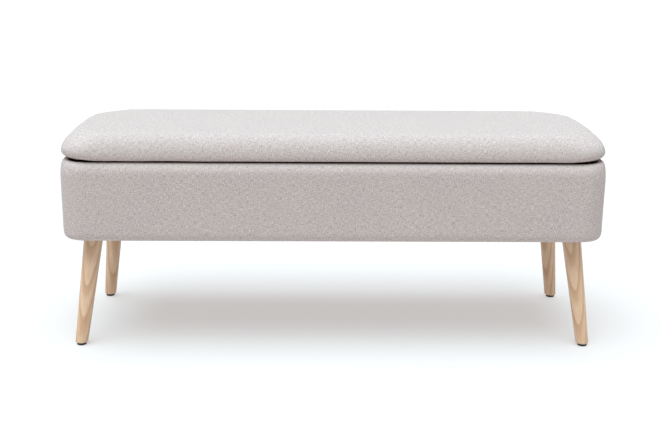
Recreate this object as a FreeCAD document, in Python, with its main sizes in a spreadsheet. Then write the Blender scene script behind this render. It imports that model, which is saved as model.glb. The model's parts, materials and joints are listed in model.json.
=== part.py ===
import FreeCAD, Part
import math
import os
import Sketcher

# A long upholstered storage bench on four splayed legs.
# Frame: X along its length, -Y is the front, +Z up, millimetres.
# The origin is on the floor, under the middle of the bench.
#
# From the outside in, a wall is fabric cover, foam, plywood and lining.
# The lid turns on three butt hinges behind it, and two slotted stays hold it open.

V = FreeCAD.Vector
X_AXIS = V(1, 0, 0)
Z_AXIS = V(0, 0, 1)
SIDES = {"left": -1, "right": 1}
ENDS = {"front": -1, "rear": 1}
HINGES = {"left": -1, "centre": 0, "right": 1}

DIMENSIONS = [
    # whole bench
    ("box_length", 1200, "over the box cover"),
    ("box_depth", 400, "over the box cover"),
    ("box_corner", 65, "plan radius of the box cover"),
    ("box_bottom", 246.5, "height of the underside"),
    ("box_top", 420, "height of the rim"),
    ("rim_round", 17, "rounding of the cover at the rim"),
    ("base_round", 19, "rounding of the cover at the underside"),
    ("lid_length", 1189, "over the lid cover"),
    ("lid_depth", 389, "over the lid cover"),
    ("lid_corner", 74, "plan radius of the lid cover"),
    ("lid_bottom", 423.5, "height of the lid's underside"),
    ("lid_top", 480, "height of the seat"),
    ("lid_top_round", 43, "soft upper edge of the cushion"),
    ("lid_base_round", 12.5, "tuck under the cushion"),
    # layers
    ("cover", 1.5, "fabric with its backing"),
    ("wall_foam", 10, "foam on the walls"),
    ("panel", 12, "plywood"),
    ("lining", 1, "lining of the box"),
    ("dust", 0.8, "dust cover and lid lining"),
    ("turn_under", 30, "strip of cover under the box"),
    ("flap_low", 400, "lower edge of the cover inside the rim"),
    ("lid_board_inset", 13.5, "lid cover to lid board"),
    ("lid_turn_under", 38.5, "lid cover to the edge of its strip"),
    ("lid_lining_inset", 22, "lid cover to lid lining"),
    # legs
    ("foot_x", 564, "middle of a foot"),
    ("foot_y", 166, "middle of a foot"),
    ("leg_top_x", 532.4, "middle of a leg's top"),
    ("leg_top_y", 128.5, "middle of a leg's top"),
    ("leg_top_radius", 21.3, "at the top"),
    ("leg_foot_radius", 14, "at the foot"),
    ("leg_rim", 2, "height of the eased edge at the foot"),
    ("glide_radius", 10.5, "plastic glide"),
    ("glide_height", 6, "plastic glide"),
    ("glide_round", 1.5, "lower edge of the glide"),
    ("nail_head_low", 3, "height of the head moulded into the glide"),
    ("plate_side", 60, "square leg plate"),
    ("plate_thick", 3, "leg plate"),
    ("plate_screw_reach", 24, "middle of the plate to a screw"),
    ("hanger_radius", 4, "M8 hanger bolt"),
    ("hanger_low", 205, "its end in the leg"),
    ("hanger_high", 256, "its end in the bottom board"),
    # hinges
    ("axis_y", 195, "hinge pins"),
    ("axis_z", 421.35, "hinge pins"),
    ("hinge_pitch", 400, "from hinge to hinge"),
    ("hinge_width", 60, "along the pin"),
    ("leaf_thick", 1.2, "hinge leaf"),
    ("base_leaf_front", 176.8, "front edge of the leaf on the rim"),
    ("lid_leaf_front", 169, "front edge of the leaf on the lid"),
    ("knuckle_radius", 2.6, "rolled knuckle"),
    ("knuckle_gap", 0.3, "between knuckles"),
    ("pin_radius", 1.25, "hinge pin"),
    ("pin_head_radius", 2.2, "peened end of a pin"),
    ("pin_head", 0.8, "its thickness"),
    ("base_screw_y", 182.5, "screws of the leaf on the rim"),
    ("lid_screw_y", 175, "screws of the leaf on the lid"),
    ("hinge_screw_pitch", 22, "from screw to screw"),
    # stays
    ("stay_reach", 78, "hinge pins to either pivot of a stay"),
    ("lid_pivot_angle", 5.78, "pivot on the lid, below level, seen from the pins"),
    ("stud_angle", 28, "stud on the box, below level, seen from the pins"),
    ("open_angle", 95, "lid fully open"),
    ("arm_x", 557, "inner face of an arm"),
    ("arm_thick", 2, "stay arm"),
    ("arm_radius", 5.5, "half its width"),
    ("stud_radius", 3, "stud that the slot slides on"),
    ("slot_play", 0.2, "slot wall to stud"),
    ("collar_radius", 4.5, "shoulder of the stud"),
    ("stud_head_radius", 5, "its head"),
    ("rivet_radius", 2.5, "rivet at the lid end"),
    ("rivet_head_radius", 4, "its heads"),
    ("head_thick", 1.5, "heads of stud and rivet"),
    ("side_play", 0.3, "arm to whatever is beside it"),
    ("bracket_thick", 1.5, "stay brackets"),
    ("wall_bracket_side", 30, "square bracket on the end wall"),
    ("wall_bracket_rear", 8, "stud to the bracket's rear edge"),
    ("wall_screw_back", 15, "stud to the bracket's screws"),
    ("bracket_screw_reach", 8, "middle of a stay bracket to its screws"),
    ("lid_bracket_near", 541, "inner edge of the lid bracket"),
    ("lid_bracket_half", 13, "half the lid bracket's width"),
    ("lid_bracket_drop", 6, "rivet to the lid bracket's lower edge"),
    ("lid_bracket_screw_x", 548, "screws of the lid bracket"),
    ("rivet_tail", 1, "outer head of the rivet"),
    # screws that hold the walls to the bottom board
    ("panel_screw_sink", 1, "head above the underside of the board"),
    ("panel_screw_pitch", 180, "along the long walls"),
    ("end_screw_y", 80, "along the end walls"),
    # small parts
    ("bumper_radius", 4, "rubber bumper"),
    ("bumper_x", 480, "bumpers along the front"),
    ("bumper_y", 178, "bumpers along the front"),
    ("bumper_play", 0.3, "bumper to rim"),
    ("hole_play", 0.05, "screw to its hole"),
    ("pin_play", 0.05, "pin or rivet to what turns on it"),
    ("spare", 1, "how far a cutter runs past its piece"),
]

# Head radius, head thickness, shank radius and whole length.
FASTENERS = {
    "leg_plate_screws": (4, 2, 2, 16.5),
    "panel_screws": (4, 2.5, 2, 38),
    "hinge_rim_screws": (2.8, 0.8, 1.5, 26),
    "hinge_lid_screws": (2.8, 0.8, 1.5, 13),
    "glide_nails": (4, 1.5, 1.5, 21),
    "stay_wall_screws": (3, 1.5, 1.5, 12),
    "stay_lid_screws": (3, 1.5, 1.5, 14),
}

doc = FreeCAD.newDocument("storage_bench")
sheet = doc.addObject("Spreadsheet::Sheet", "Dims")
for row, (alias, value, note) in enumerate(DIMENSIONS, start=1):
    sheet.set(f"A{row}", alias)
    sheet.set(f"B{row}", str(value))
    sheet.set(f"C{row}", note)
    sheet.setAlias(f"B{row}", alias)
doc.recompute()

nodes = []


def size(alias):
    """A dimension as a number, for places that are worked out in code."""
    return float(sheet.get(alias))


def text(expression):
    """An expression in short aliases, with the sheet's name before each of them."""
    words = expression.replace("(", "( ").replace(")", " )").split()
    known = {alias for alias, _, _ in DIMENSIONS}
    return " ".join("Dims." + word if word in known else word for word in words)


def bind(item, **expressions):
    """Bind properties such as Length or Radius to expressions."""
    for name, expression in expressions.items():
        item.setExpression(name, text(expression))


def place(item, x="0", y="0", z="0"):
    for axis, expression in zip("xyz", (x, y, z)):
        item.setExpression(".Placement.Base." + axis, text(expression))


def node(item, label):
    """Mark an object as one physical piece, under the name of its file."""
    item.Label = label
    nodes.append(item)
    return item


# ---------------------------------------------------------------- building blocks

def box(name, low, high):
    """A block between two corners, each three expressions."""
    item = doc.addObject("Part::Box", name)
    place(item, *low)
    spans = [f"( {b} ) - ( {a} )" for a, b in zip(low, high)]
    bind(item, Length=spans[0], Width=spans[1], Height=spans[2])
    return item


def rod(name, radius, x, y, z, length, along="z"):
    """A cylinder from a point, along +Z or +X."""
    item = doc.addObject("Part::Cylinder", name)
    if along == "x":
        item.Placement = FreeCAD.Placement(V(), FreeCAD.Rotation(V(0, 1, 0), 90))
    bind(item, Radius=radius, Height=length)
    place(item, x, y, z)
    return item


def cut(name, base, tool):
    item = doc.addObject("Part::Cut", name)
    item.Base = base
    item.Tool = tool
    return item


def common(name, base, tool):
    item = doc.addObject("Part::Common", name)
    item.Base = base
    item.Tool = tool
    return item


def fuse(name, shapes):
    item = doc.addObject("Part::MultiFuse", name)
    item.Shapes = shapes
    return item


def group(name, shapes):
    """Separate solids that stay separate, in one piece of the list or one cutter."""
    item = doc.addObject("Part::Compound", name)
    item.Links = shapes
    return item


def attach(sketch, body):
    planes = [item for item in body.Origin.OriginFeatures if item.Role == "XY_Plane"]
    sketch.AttachmentSupport = [(planes[0], "")]
    sketch.MapMode = "FlatFace"


def outline(body, name, length, depth, corner):
    """A rounded rectangle about the origin: four lines and four tangent arcs."""
    sketch = body.newObject("Sketcher::SketchObject", name)
    attach(sketch, body)
    half_x, half_y, radius = 100, 60, 20
    corners = [(1, -1), (1, 1), (-1, 1), (-1, -1)]
    pieces = []
    for turn, (sx, sy) in enumerate(corners):
        middle = V(sx * (half_x - radius), sy * (half_y - radius), 0)
        start = (turn - 1) * math.pi / 2
        arc = Part.ArcOfCircle(Part.Circle(middle, Z_AXIS, radius), start, start + math.pi / 2)
        pieces.append(arc)
    arcs = [sketch.addGeometry(arc) for arc in pieces]
    lines = []
    for turn in range(4):
        first = pieces[turn].EndPoint
        last = pieces[(turn + 1) % 4].StartPoint
        lines.append(sketch.addGeometry(Part.LineSegment(first, last)))
    for turn in range(4):
        sketch.addConstraint(Sketcher.Constraint("Tangent", arcs[turn], 2, lines[turn], 1))
        sketch.addConstraint(
            Sketcher.Constraint("Tangent", lines[turn], 2, arcs[(turn + 1) % 4], 1))
        straight = "Vertical" if turn % 2 == 0 else "Horizontal"
        sketch.addConstraint(Sketcher.Constraint(straight, lines[turn]))
    for other in arcs[1:]:
        sketch.addConstraint(Sketcher.Constraint("Equal", arcs[0], other))
    sketch.addConstraint(Sketcher.Constraint("Symmetric", arcs[0], 3, arcs[2], 3, -1, 1))
    named = {
        "corner": Sketcher.Constraint("Radius", arcs[0], radius),
        "length": Sketcher.Constraint("DistanceX", lines[2], 1, lines[0], 1, 2 * half_x),
        "depth": Sketcher.Constraint("DistanceY", lines[3], 1, lines[1], 1, 2 * half_y),
    }
    for word, constraint in named.items():
        sketch.renameConstraint(sketch.addConstraint(constraint), word)
    sketch.setExpression("Constraints.length", text(length))
    sketch.setExpression("Constraints.depth", text(depth))
    sketch.setExpression("Constraints.corner", text(corner))
    return sketch


def slab(name, whole, inset, low, high):
    """A level slab with the bench's plan, inset from the box or the lid cover."""
    body = doc.addObject("PartDesign::Body", name)
    sketch = outline(
        body, name + "_plan", f"{whole}_length - 2 * ( {inset} )",
        f"{whole}_depth - 2 * ( {inset} )", f"{whole}_corner - ( {inset} )")
    pad = body.newObject("PartDesign::Pad", name + "_pad")
    pad.Profile = sketch
    bind(pad, Length=f"( {high} ) - ( {low} )")
    place(body, z=low)
    doc.recompute()
    return body


def round_edges(body, top, radius):
    """Round the slab's upper or lower edge all the way round."""
    last = body.Tip
    level = last.Shape.BoundBox.ZMax if top else last.Shape.BoundBox.ZMin
    names = []
    for number, edge in enumerate(last.Shape.Edges, start=1):
        bounds = edge.BoundBox
        if abs(bounds.ZMin - level) < 1e-3 and abs(bounds.ZMax - level) < 1e-3:
            names.append(f"Edge{number}")
    fillet = body.newObject("PartDesign::Fillet", body.Name + ("_top" if top else "_base"))
    fillet.Base = (last, names)
    bind(fillet, Radius=radius)
    doc.recompute()


def fastener(name, head_radius, head, shank_radius, reach, play="0"):
    """A screw or nail that points up: its head from 0, its shank above."""
    shank_start = f"{head} - 0.1"
    top = rod(name + "_head", f"{head_radius} + {play}", "0", "0", "0", head)
    shank = rod(name + "_shank", f"{shank_radius} + {play}", "0", "0", shank_start,
                f"{reach} - ( {shank_start} )")
    return fuse(name, [top, shank])


def copies(name, master, places, direction=V(0, 0, 1)):
    """Copies of a master piece at a list of points, turned to point one way."""
    doc.recompute()
    turn = FreeCAD.Rotation(Z_AXIS, direction)
    shapes = []
    for point in places:
        shape = master.Shape.copy()
        shape.Placement = FreeCAD.Placement(point, turn)
        shapes.append(shape)
    item = doc.addObject("Part::Feature", name)
    item.Shape = Part.makeCompound(shapes)
    return item


# ---------------------------------------------------------------- fasteners
# Each kind has a real shape, which becomes a node, and a looser one that cuts its holes.

def screw_set(kind, places, direction=V(0, 0, 1), word=""):
    head_radius, head, shank_radius, reach = (str(value) for value in FASTENERS[kind])
    name = kind + word
    master = fastener(name + "_master", head_radius, head, shank_radius, reach)
    looser = fastener(
        name + "_cutter", head_radius, head, shank_radius, f"{reach} + hole_play", "hole_play")
    made = copies(name, master, places, direction)
    holes = copies(name + "_holes", looser, places, direction)
    return made, holes


def head_of(kind):
    """Thickness of a fastener's head."""
    return FASTENERS[kind][1]


leg_corners = []
for end, sy in ENDS.items():
    for side, sx in SIDES.items():
        leg_corners.append((f"{end}_{side}", sx, sy))

plate_top = size("box_bottom") - size("dust")
plate_low = plate_top - size("plate_thick")
reach = size("plate_screw_reach")
plate_places = []
for _, sx, sy in leg_corners:
    for dx in (-reach, reach):
        for dy in (-reach, reach):
            x = sx * size("leg_top_x") + dx
            y = sy * size("leg_top_y") + dy
            plate_places.append(V(x, y, plate_low - head_of("leg_plate_screws")))
plate_screws, plate_screw_holes = screw_set("leg_plate_screws", plate_places)

wall_middle = size("cover") + size("wall_foam") + size("panel") / 2
long_wall_y = size("box_depth") / 2 - wall_middle
end_wall_x = size("box_length") / 2 - wall_middle
panel_screw_z = size("box_bottom") + size("cover") + size("panel_screw_sink")
panel_places = []
for sign in (-1, 1):
    for step in (-2.5, -1.5, -0.5, 0.5, 1.5, 2.5):
        x = step * size("panel_screw_pitch")
        panel_places.append(V(x, sign * long_wall_y, panel_screw_z))
    for y in (-size("end_screw_y"), size("end_screw_y")):
        panel_places.append(V(sign * end_wall_x, y, panel_screw_z))
panel_screws, panel_screw_holes = screw_set("panel_screws", panel_places)

hinge_x = [turn * size("hinge_pitch") for turn in HINGES.values()]
screw_x = [middle + step * size("hinge_screw_pitch") for middle in hinge_x for step in (-1, 0, 1)]
base_leaf_top = size("box_top") + size("leaf_thick")
lid_leaf_low = size("lid_bottom") - size("dust") - size("leaf_thick")
rim_places = [V(x, size("base_screw_y"), base_leaf_top) for x in screw_x]
lid_places = [V(x, size("lid_screw_y"), lid_leaf_low) for x in screw_x]
rim_screws, rim_screw_holes = screw_set("hinge_rim_screws", rim_places, V(0, 0, -1))
lid_screws, lid_screw_holes = screw_set("hinge_lid_screws", lid_places)

glide_nail_places = []
for _, sx, sy in leg_corners:
    glide_nail_places.append(V(sx * size("foot_x"), sy * size("foot_y"), size("nail_head_low")))
glide_nails, glide_nail_holes = screw_set("glide_nails", glide_nail_places)

hanger_master = rod("hanger_master", "hanger_radius", "0", "0", "0", "hanger_high - hanger_low")
hanger_cutter = rod("hanger_cutter", "hanger_radius + hole_play", "0", "0", "0",
                    "hanger_high - hanger_low + hole_play")
hanger_places = []
for _, sx, sy in leg_corners:
    hanger_places.append(V(sx * size("leg_top_x"), sy * size("leg_top_y"), size("hanger_low")))
hanger_bolts = copies("hanger_bolts", hanger_master, hanger_places)
hanger_holes = copies("hanger_holes", hanger_cutter, hanger_places)

# ---------------------------------------------------------------- stay geometry
# Both pivots of a stay are the same distance from the hinge pins, so the arm turns
# by exactly half of what the lid turns by, and the stud runs along its slot.

def from_pins(angle):
    """A point of a stay, below the level line that runs forward from the pins."""
    low = math.radians(angle)
    y = size("axis_y") - size("stay_reach") * math.cos(low)
    z = size("axis_z") - size("stay_reach") * math.sin(low)
    return y, z


pivot_y, pivot_z = from_pins(size("lid_pivot_angle"))
stud_y, stud_z = from_pins(size("stud_angle"))
closed_half = (size("stud_angle") - size("lid_pivot_angle")) / 2
open_half = closed_half + size("open_angle") / 2
slot_start = 2 * size("stay_reach") * math.sin(math.radians(closed_half))
slot_end = 2 * size("stay_reach") * math.sin(math.radians(open_half))
arm_lean = math.degrees(math.atan2(stud_y - pivot_y, pivot_z - stud_z))

inner_wall_x = size("box_length") / 2 - wall_middle - size("panel") / 2 - size("lining")
box_bracket_x = inner_wall_x - size("bracket_thick")
flange_low = size("lid_bottom") - size("dust") - size("bracket_thick")
wall_head_x = box_bracket_x - head_of("stay_wall_screws")
lid_head_z = flange_low - head_of("stay_lid_screws")
screw_steps = (-size("bracket_screw_reach"), size("bracket_screw_reach"))
lid_bracket_places = []
stay_wall_sets = {}
for side, sx in SIDES.items():
    screw_y = stud_y - size("wall_screw_back")
    wall_places = [V(sx * wall_head_x, screw_y, stud_z + step) for step in screw_steps]
    stay_wall_sets[side] = screw_set("stay_wall_screws", wall_places, V(sx, 0, 0), "_" + side)
    for step in screw_steps:
        x = sx * size("lid_bracket_screw_x")
        lid_bracket_places.append(V(x, pivot_y + step, lid_head_z))
stay_lid_screws, stay_lid_holes = screw_set("stay_lid_screws", lid_bracket_places)

# ---------------------------------------------------------------- box
under_cover = "cover"
at_panel = "cover + wall_foam"
at_cavity = "cover + wall_foam + panel"
at_lining = "cover + wall_foam + panel + lining"
at_flap = "cover + wall_foam + panel + cover"
board_top = "box_bottom + cover + panel"

box_skin = slab("box_skin", "box", "0", "box_bottom", "box_top")
round_edges(box_skin, True, "rim_round")
round_edges(box_skin, False, "base_round")
box_core = slab("box_core", "box", under_cover, "box_bottom + cover", "box_top - cover")
round_edges(box_core, True, "rim_round - cover")
round_edges(box_core, False, "base_round - cover")

# The walls stand on the bottom board. Their outer edges follow the rounding of the cover.
wall_outside = slab("wall_outside", "box", at_panel, board_top, "box_top - cover")
wall_inside = slab("wall_inside", "box", at_cavity, f"{board_top} - spare", "box_top + spare")
walls = common("walls", cut("wall_ring", wall_outside, wall_inside), box_core)
foam_inside = slab("foam_inside", "box", at_panel, "box_bottom - spare", "box_top + spare")
foam_ring = cut("foam_ring", box_core, foam_inside)

straight_x = "( box_length / 2 - box_corner )"
straight_y = "( box_depth / 2 - box_corner )"
low_z = "box_bottom - spare"
high_z = "box_top + spare"
zones = {
    "front": (["-1 * " + straight_x, "-1 * box_depth", low_z],
              [straight_x, "-1 * " + straight_y, high_z]),
    "rear": (["-1 * " + straight_x, straight_y, low_z],
             [straight_x, "box_depth", high_z]),
    "left": (["-1 * box_length", "-1 * " + straight_y, low_z],
             ["-1 * " + straight_x, straight_y, high_z]),
    "right": ([straight_x, "-1 * " + straight_y, low_z],
              ["box_length", straight_y, high_z]),
}
corner_zones = {}
for end, sy in ENDS.items():
    for side, sx in SIDES.items():
        x_pair = [straight_x, "box_length"] if sx > 0 else ["-1 * box_length", "-1 * " + straight_x]
        y_pair = [straight_y, "box_depth"] if sy > 0 else ["-1 * box_depth", "-1 * " + straight_y]
        corner_zones[f"{end}_{side}"] = (
            [x_pair[0], y_pair[0], low_z], [x_pair[1], y_pair[1], high_z])

wall_holes = {
    "front": [panel_screw_holes],
    "rear": [panel_screw_holes, rim_screw_holes],
    "left": [panel_screw_holes, stay_wall_sets["left"][1]],
    "right": [panel_screw_holes, stay_wall_sets["right"][1]],
}
panel_names = {
    "front": "front_panel", "rear": "rear_panel",
    "left": "left_end_panel", "right": "right_end_panel",
}
for word, (low, high) in zones.items():
    plain = common(word + "_wall", walls, box(word + "_zone", low, high))
    drilled = cut(word + "_drilled", plain, group(word + "_holes", wall_holes[word]))
    node(drilled, panel_names[word])
    foam = common(word + "_wrap", foam_ring, box(word + "_foam_zone", low, high))
    node(foam, panel_names[word].replace("panel", "foam"))

corner_boxes = []
for word, (low, high) in corner_zones.items():
    node(common(word + "_wall", walls, box(word + "_zone", low, high)), "corner_block_" + word)
    corner_boxes.append(box(word + "_foam_zone", low, high))
node(common("corner_wrap", foam_ring, group("corner_foam_zones", corner_boxes)), "corner_foams")

board_slab = slab("board_slab", "box", at_panel, "box_bottom + cover", board_top)
board_plain = common("board_plain", board_slab, box_core)
board_cutters = group("board_cutters", [plate_screw_holes, panel_screw_holes, hanger_holes])
node(cut("board", board_plain, board_cutters), "bottom_board")
node(panel_screws, "panel_screws")

# The cover turns over the rim to a flap inside, and under the base to a strip.
flap = cut(
    "flap",
    slab("flap_outside", "box", at_cavity, "flap_low", "box_top - cover"),
    slab("flap_inside", "box", at_flap, "flap_low - spare", "box_top + spare"))
mouth = slab("mouth", "box", at_flap, "box_top - cover - spare", "box_top + spare")
base_opening = slab("base_opening", "box", "turn_under", "box_bottom - spare", board_top)
shell = cut("cover_shell", box_skin, box_core)
cover_open = cut("cover_open", shell, group("cover_mouths", [mouth, base_opening]))
cover_whole = fuse("cover_whole", [cover_open, flap])
node(cut("cover_drilled", cover_whole, rim_screw_holes), "box_cover")

lining_outside = slab("lining_outside", "box", at_cavity, board_top, "flap_low")
lining_inside = slab("lining_inside", "box", at_lining, f"{board_top} + lining", "flap_low + spare")
lining_tray = cut("lining_tray", lining_outside, lining_inside)
lining_holes = group("lining_holes", [stay_wall_sets[side][1] for side in SIDES])
node(cut("lining_drilled", lining_tray, lining_holes), "box_lining")

dust_slab = slab("dust_slab", "box", "turn_under - 8", "box_bottom - dust", "box_bottom")
node(cut("dust_drilled", dust_slab, group("dust_holes", [plate_screw_holes, hanger_holes])),
     "dust_cover")

# ---------------------------------------------------------------- legs
def leg_circle(body, name, radius, x, y, z):
    sketch = body.newObject("Sketcher::SketchObject", name)
    attach(sketch, body)
    circle = sketch.addGeometry(Part.Circle(V(), Z_AXIS, 10))
    sketch.addConstraint(Sketcher.Constraint("Coincident", circle, 3, -1, 1))
    number = sketch.addConstraint(Sketcher.Constraint("Radius", circle, 10))
    sketch.renameConstraint(number, "radius")
    sketch.setExpression("Constraints.radius", text(radius))
    for axis, expression in zip("xyz", (x, y, z)):
        sketch.setExpression(".AttachmentOffset.Base." + axis, text(expression))
    return sketch


def leg(word, sx, sy):
    """A turned taper that leans outwards, sawn level at both ends and eased at the foot."""
    body = doc.addObject("PartDesign::Body", "leg_body_" + word)
    leg_top = "( box_bottom - dust - plate_thick )"
    eased = f"leg_rim / ( {leg_top} - glide_height )"
    foot = leg_circle(body, word + "_foot", "leg_foot_radius - leg_rim / 2",
                      f"{sx} * foot_x", f"{sy} * foot_y", "glide_height")
    rim = leg_circle(body, word + "_rim", "leg_foot_radius",
                     f"{sx} * ( foot_x - ( foot_x - leg_top_x ) * {eased} )",
                     f"{sy} * ( foot_y - ( foot_y - leg_top_y ) * {eased} )",
                     "glide_height + leg_rim")
    top = leg_circle(body, word + "_top", "leg_top_radius",
                     f"{sx} * leg_top_x", f"{sy} * leg_top_y", leg_top)
    loft = body.newObject("PartDesign::AdditiveLoft", word + "_taper")
    loft.Profile = foot
    loft.Sections = [rim, top]
    loft.Ruled = True
    doc.recompute()
    holes = group(word + "_leg_holes", [hanger_holes, glide_nail_holes])
    return node(cut("leg_drilled_" + word, body, holes), "leg_" + word)


def glide(word, sx, sy):
    disc = rod("glide_disc_" + word, "glide_radius", f"{sx} * foot_x", f"{sy} * foot_y", "0",
               "glide_height")
    doc.recompute()
    rounded = doc.addObject("Part::Fillet", "glide_round_" + word)
    rounded.Base = disc
    lower = []
    for number, edge in enumerate(disc.Shape.Edges, start=1):
        if edge.BoundBox.ZMax < size("glide_height") / 2:
            lower.append((number, size("glide_round"), size("glide_round")))
    rounded.Edges = lower
    return node(cut("glide_hollow_" + word, rounded, glide_nail_holes), "glide_" + word)


def leg_plate(word, sx, sy):
    centre = (f"{sx} * leg_top_x", f"{sy} * leg_top_y")
    low = [f"{part} - plate_side / 2" for part in centre] + ["box_bottom - dust - plate_thick"]
    high = [f"{part} + plate_side / 2" for part in centre] + ["box_bottom - dust"]
    plain = box("plate_blank_" + word, low, high)
    return cut("plate_" + word, plain, group("plate_holes_" + word,
                                             [plate_screw_holes, hanger_holes]))


plates = []
for word, sx, sy in leg_corners:
    leg(word, sx, sy)
    glide(word, sx, sy)
    plates.append(leg_plate(word, sx, sy))
node(group("leg_plate_set", plates), "leg_plates")
node(plate_screws, "leg_plate_screws")
node(hanger_bolts, "hanger_bolts")
node(glide_nails, "glide_nails")

# ---------------------------------------------------------------- lid
lid_skin = slab("lid_skin", "lid", "0", "lid_bottom", "lid_top")
round_edges(lid_skin, True, "lid_top_round")
round_edges(lid_skin, False, "lid_base_round")
lid_core = slab("lid_core", "lid", under_cover, "lid_bottom + cover", "lid_top - cover")
round_edges(lid_core, True, "lid_top_round - cover")
round_edges(lid_core, False, "lid_base_round - cover")
lid_slab = slab("lid_slab", "lid", "lid_board_inset", "lid_bottom + cover",
                "lid_bottom + cover + panel")
lid_fixings = group("lid_fixings", [lid_screw_holes, stay_lid_holes])
node(cut("lid_board_drilled", lid_slab, lid_fixings), "lid_board")
node(cut("lid_pad", lid_core, lid_slab), "lid_foam")
lid_opening = slab("lid_opening", "lid", "lid_turn_under", "lid_bottom - spare",
                   "lid_bottom + cover + spare")
lid_shell = cut("lid_shell", lid_skin, lid_core)
lid_turned = cut("lid_turned", lid_shell, lid_opening)
node(cut("lid_cover_drilled", lid_turned, lid_screw_holes), "lid_cover")
lid_lining_slab = slab("lid_lining_slab", "lid", "lid_lining_inset", "lid_bottom - dust",
                       "lid_bottom")
node(cut("lid_lining_drilled", lid_lining_slab, lid_fixings), "lid_lining")
bumpers = []
for side, sx in SIDES.items():
    bumpers.append(rod("bumper_" + side, "bumper_radius", f"{sx} * bumper_x", "-1 * bumper_y",
                       "box_top + bumper_play",
                       "lid_bottom - dust - box_top - bumper_play"))
node(group("bumper_pair", bumpers), "lid_bumpers")

# ---------------------------------------------------------------- hinges
def knuckles(name, middle, turns, radius, grow):
    """Cylinders about the pin, at the given fifths of the hinge's width."""
    made = []
    for turn in turns:
        start = f"{middle} - hinge_width / 2 + {turn} * hinge_width / 5 - ( {grow} )"
        made.append(rod(f"{name}_{turn}", radius, start, "axis_y", "axis_z",
                        f"hinge_width / 5 + 2 * ( {grow} )", "x"))
    return made


def leaf(name, middle, front, low, own, other, bore, screw_holes):
    """A flat leaf rolled round the pin at its own knuckles and cut away at the others."""
    plate = box(name + "_flat",
                [f"{middle} - hinge_width / 2", front, low],
                [f"{middle} + hinge_width / 2", "axis_y", f"{low} + leaf_thick"])
    away = knuckles(name + "_away", middle, other, "knuckle_radius + knuckle_gap", "knuckle_gap / 2")
    rolled = knuckles(name + "_roll", middle, own, "knuckle_radius", "-1 * knuckle_gap / 2")
    trimmed = cut(name + "_trimmed", plate, group(name + "_clear", away))
    joined = fuse(name + "_joined", [trimmed] + rolled)
    hole = rod(name + "_bore", f"pin_radius + {bore}", f"{middle} - hinge_width", "axis_y",
               "axis_z", "2 * hinge_width", "x")
    return cut(name, joined, group(name + "_holes", [hole, screw_holes]))


def hinge(word, turn):
    middle = f"{turn} * hinge_pitch"
    rim_leaf = leaf("rim_leaf_" + word, middle, "base_leaf_front", "box_top",
                    (0, 2, 4), (1, 3), "hole_play / 2", rim_screw_holes)
    node(rim_leaf, f"hinge_rim_leaf_{word}")
    lid_leaf = leaf("lid_leaf_" + word, middle, "lid_leaf_front",
                    "lid_bottom - dust - leaf_thick", (1, 3), (0, 2, 4), "pin_play", lid_screw_holes)
    node(lid_leaf, f"hinge_lid_leaf_{word}")
    start = f"{middle} - hinge_width / 2"
    shaft = rod("pin_shaft_" + word, "pin_radius", start, "axis_y", "axis_z", "hinge_width", "x")
    first = rod("pin_start_" + word, "pin_head_radius", f"{start} - pin_head", "axis_y", "axis_z",
                "pin_head", "x")
    last = rod("pin_end_" + word, "pin_head_radius", f"{start} + hinge_width", "axis_y", "axis_z",
               "pin_head", "x")
    node(fuse("pin_" + word, [shaft, first, last]), f"hinge_pin_{word}")


for word, turn in HINGES.items():
    hinge(word, turn)
node(rim_screws, "hinge_rim_screws")
node(lid_screws, "hinge_lid_screws")

# ---------------------------------------------------------------- stays
def side_rod(name, sx, radius, near, far, y, z):
    """A cylinder across the bench, between two distances from its middle."""
    item = doc.addObject("Part::Cylinder", name)
    item.Placement = FreeCAD.Placement(V(), FreeCAD.Rotation(V(0, 1, 0), 90))
    item.Radius = radius
    item.Height = far - near
    item.Placement.Base = V(near if sx > 0 else -far, y, z)
    return item


def side_block(name, sx, near, far, low, high):
    """A block beside a stay: two distances from the middle, then Y and Z corners."""
    item = doc.addObject("Part::Box", name)
    item.Length = far - near
    item.Width = high[0] - low[0]
    item.Height = high[1] - low[1]
    item.Placement.Base = V(near if sx > 0 else -far, low[0], low[1])
    return item


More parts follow.
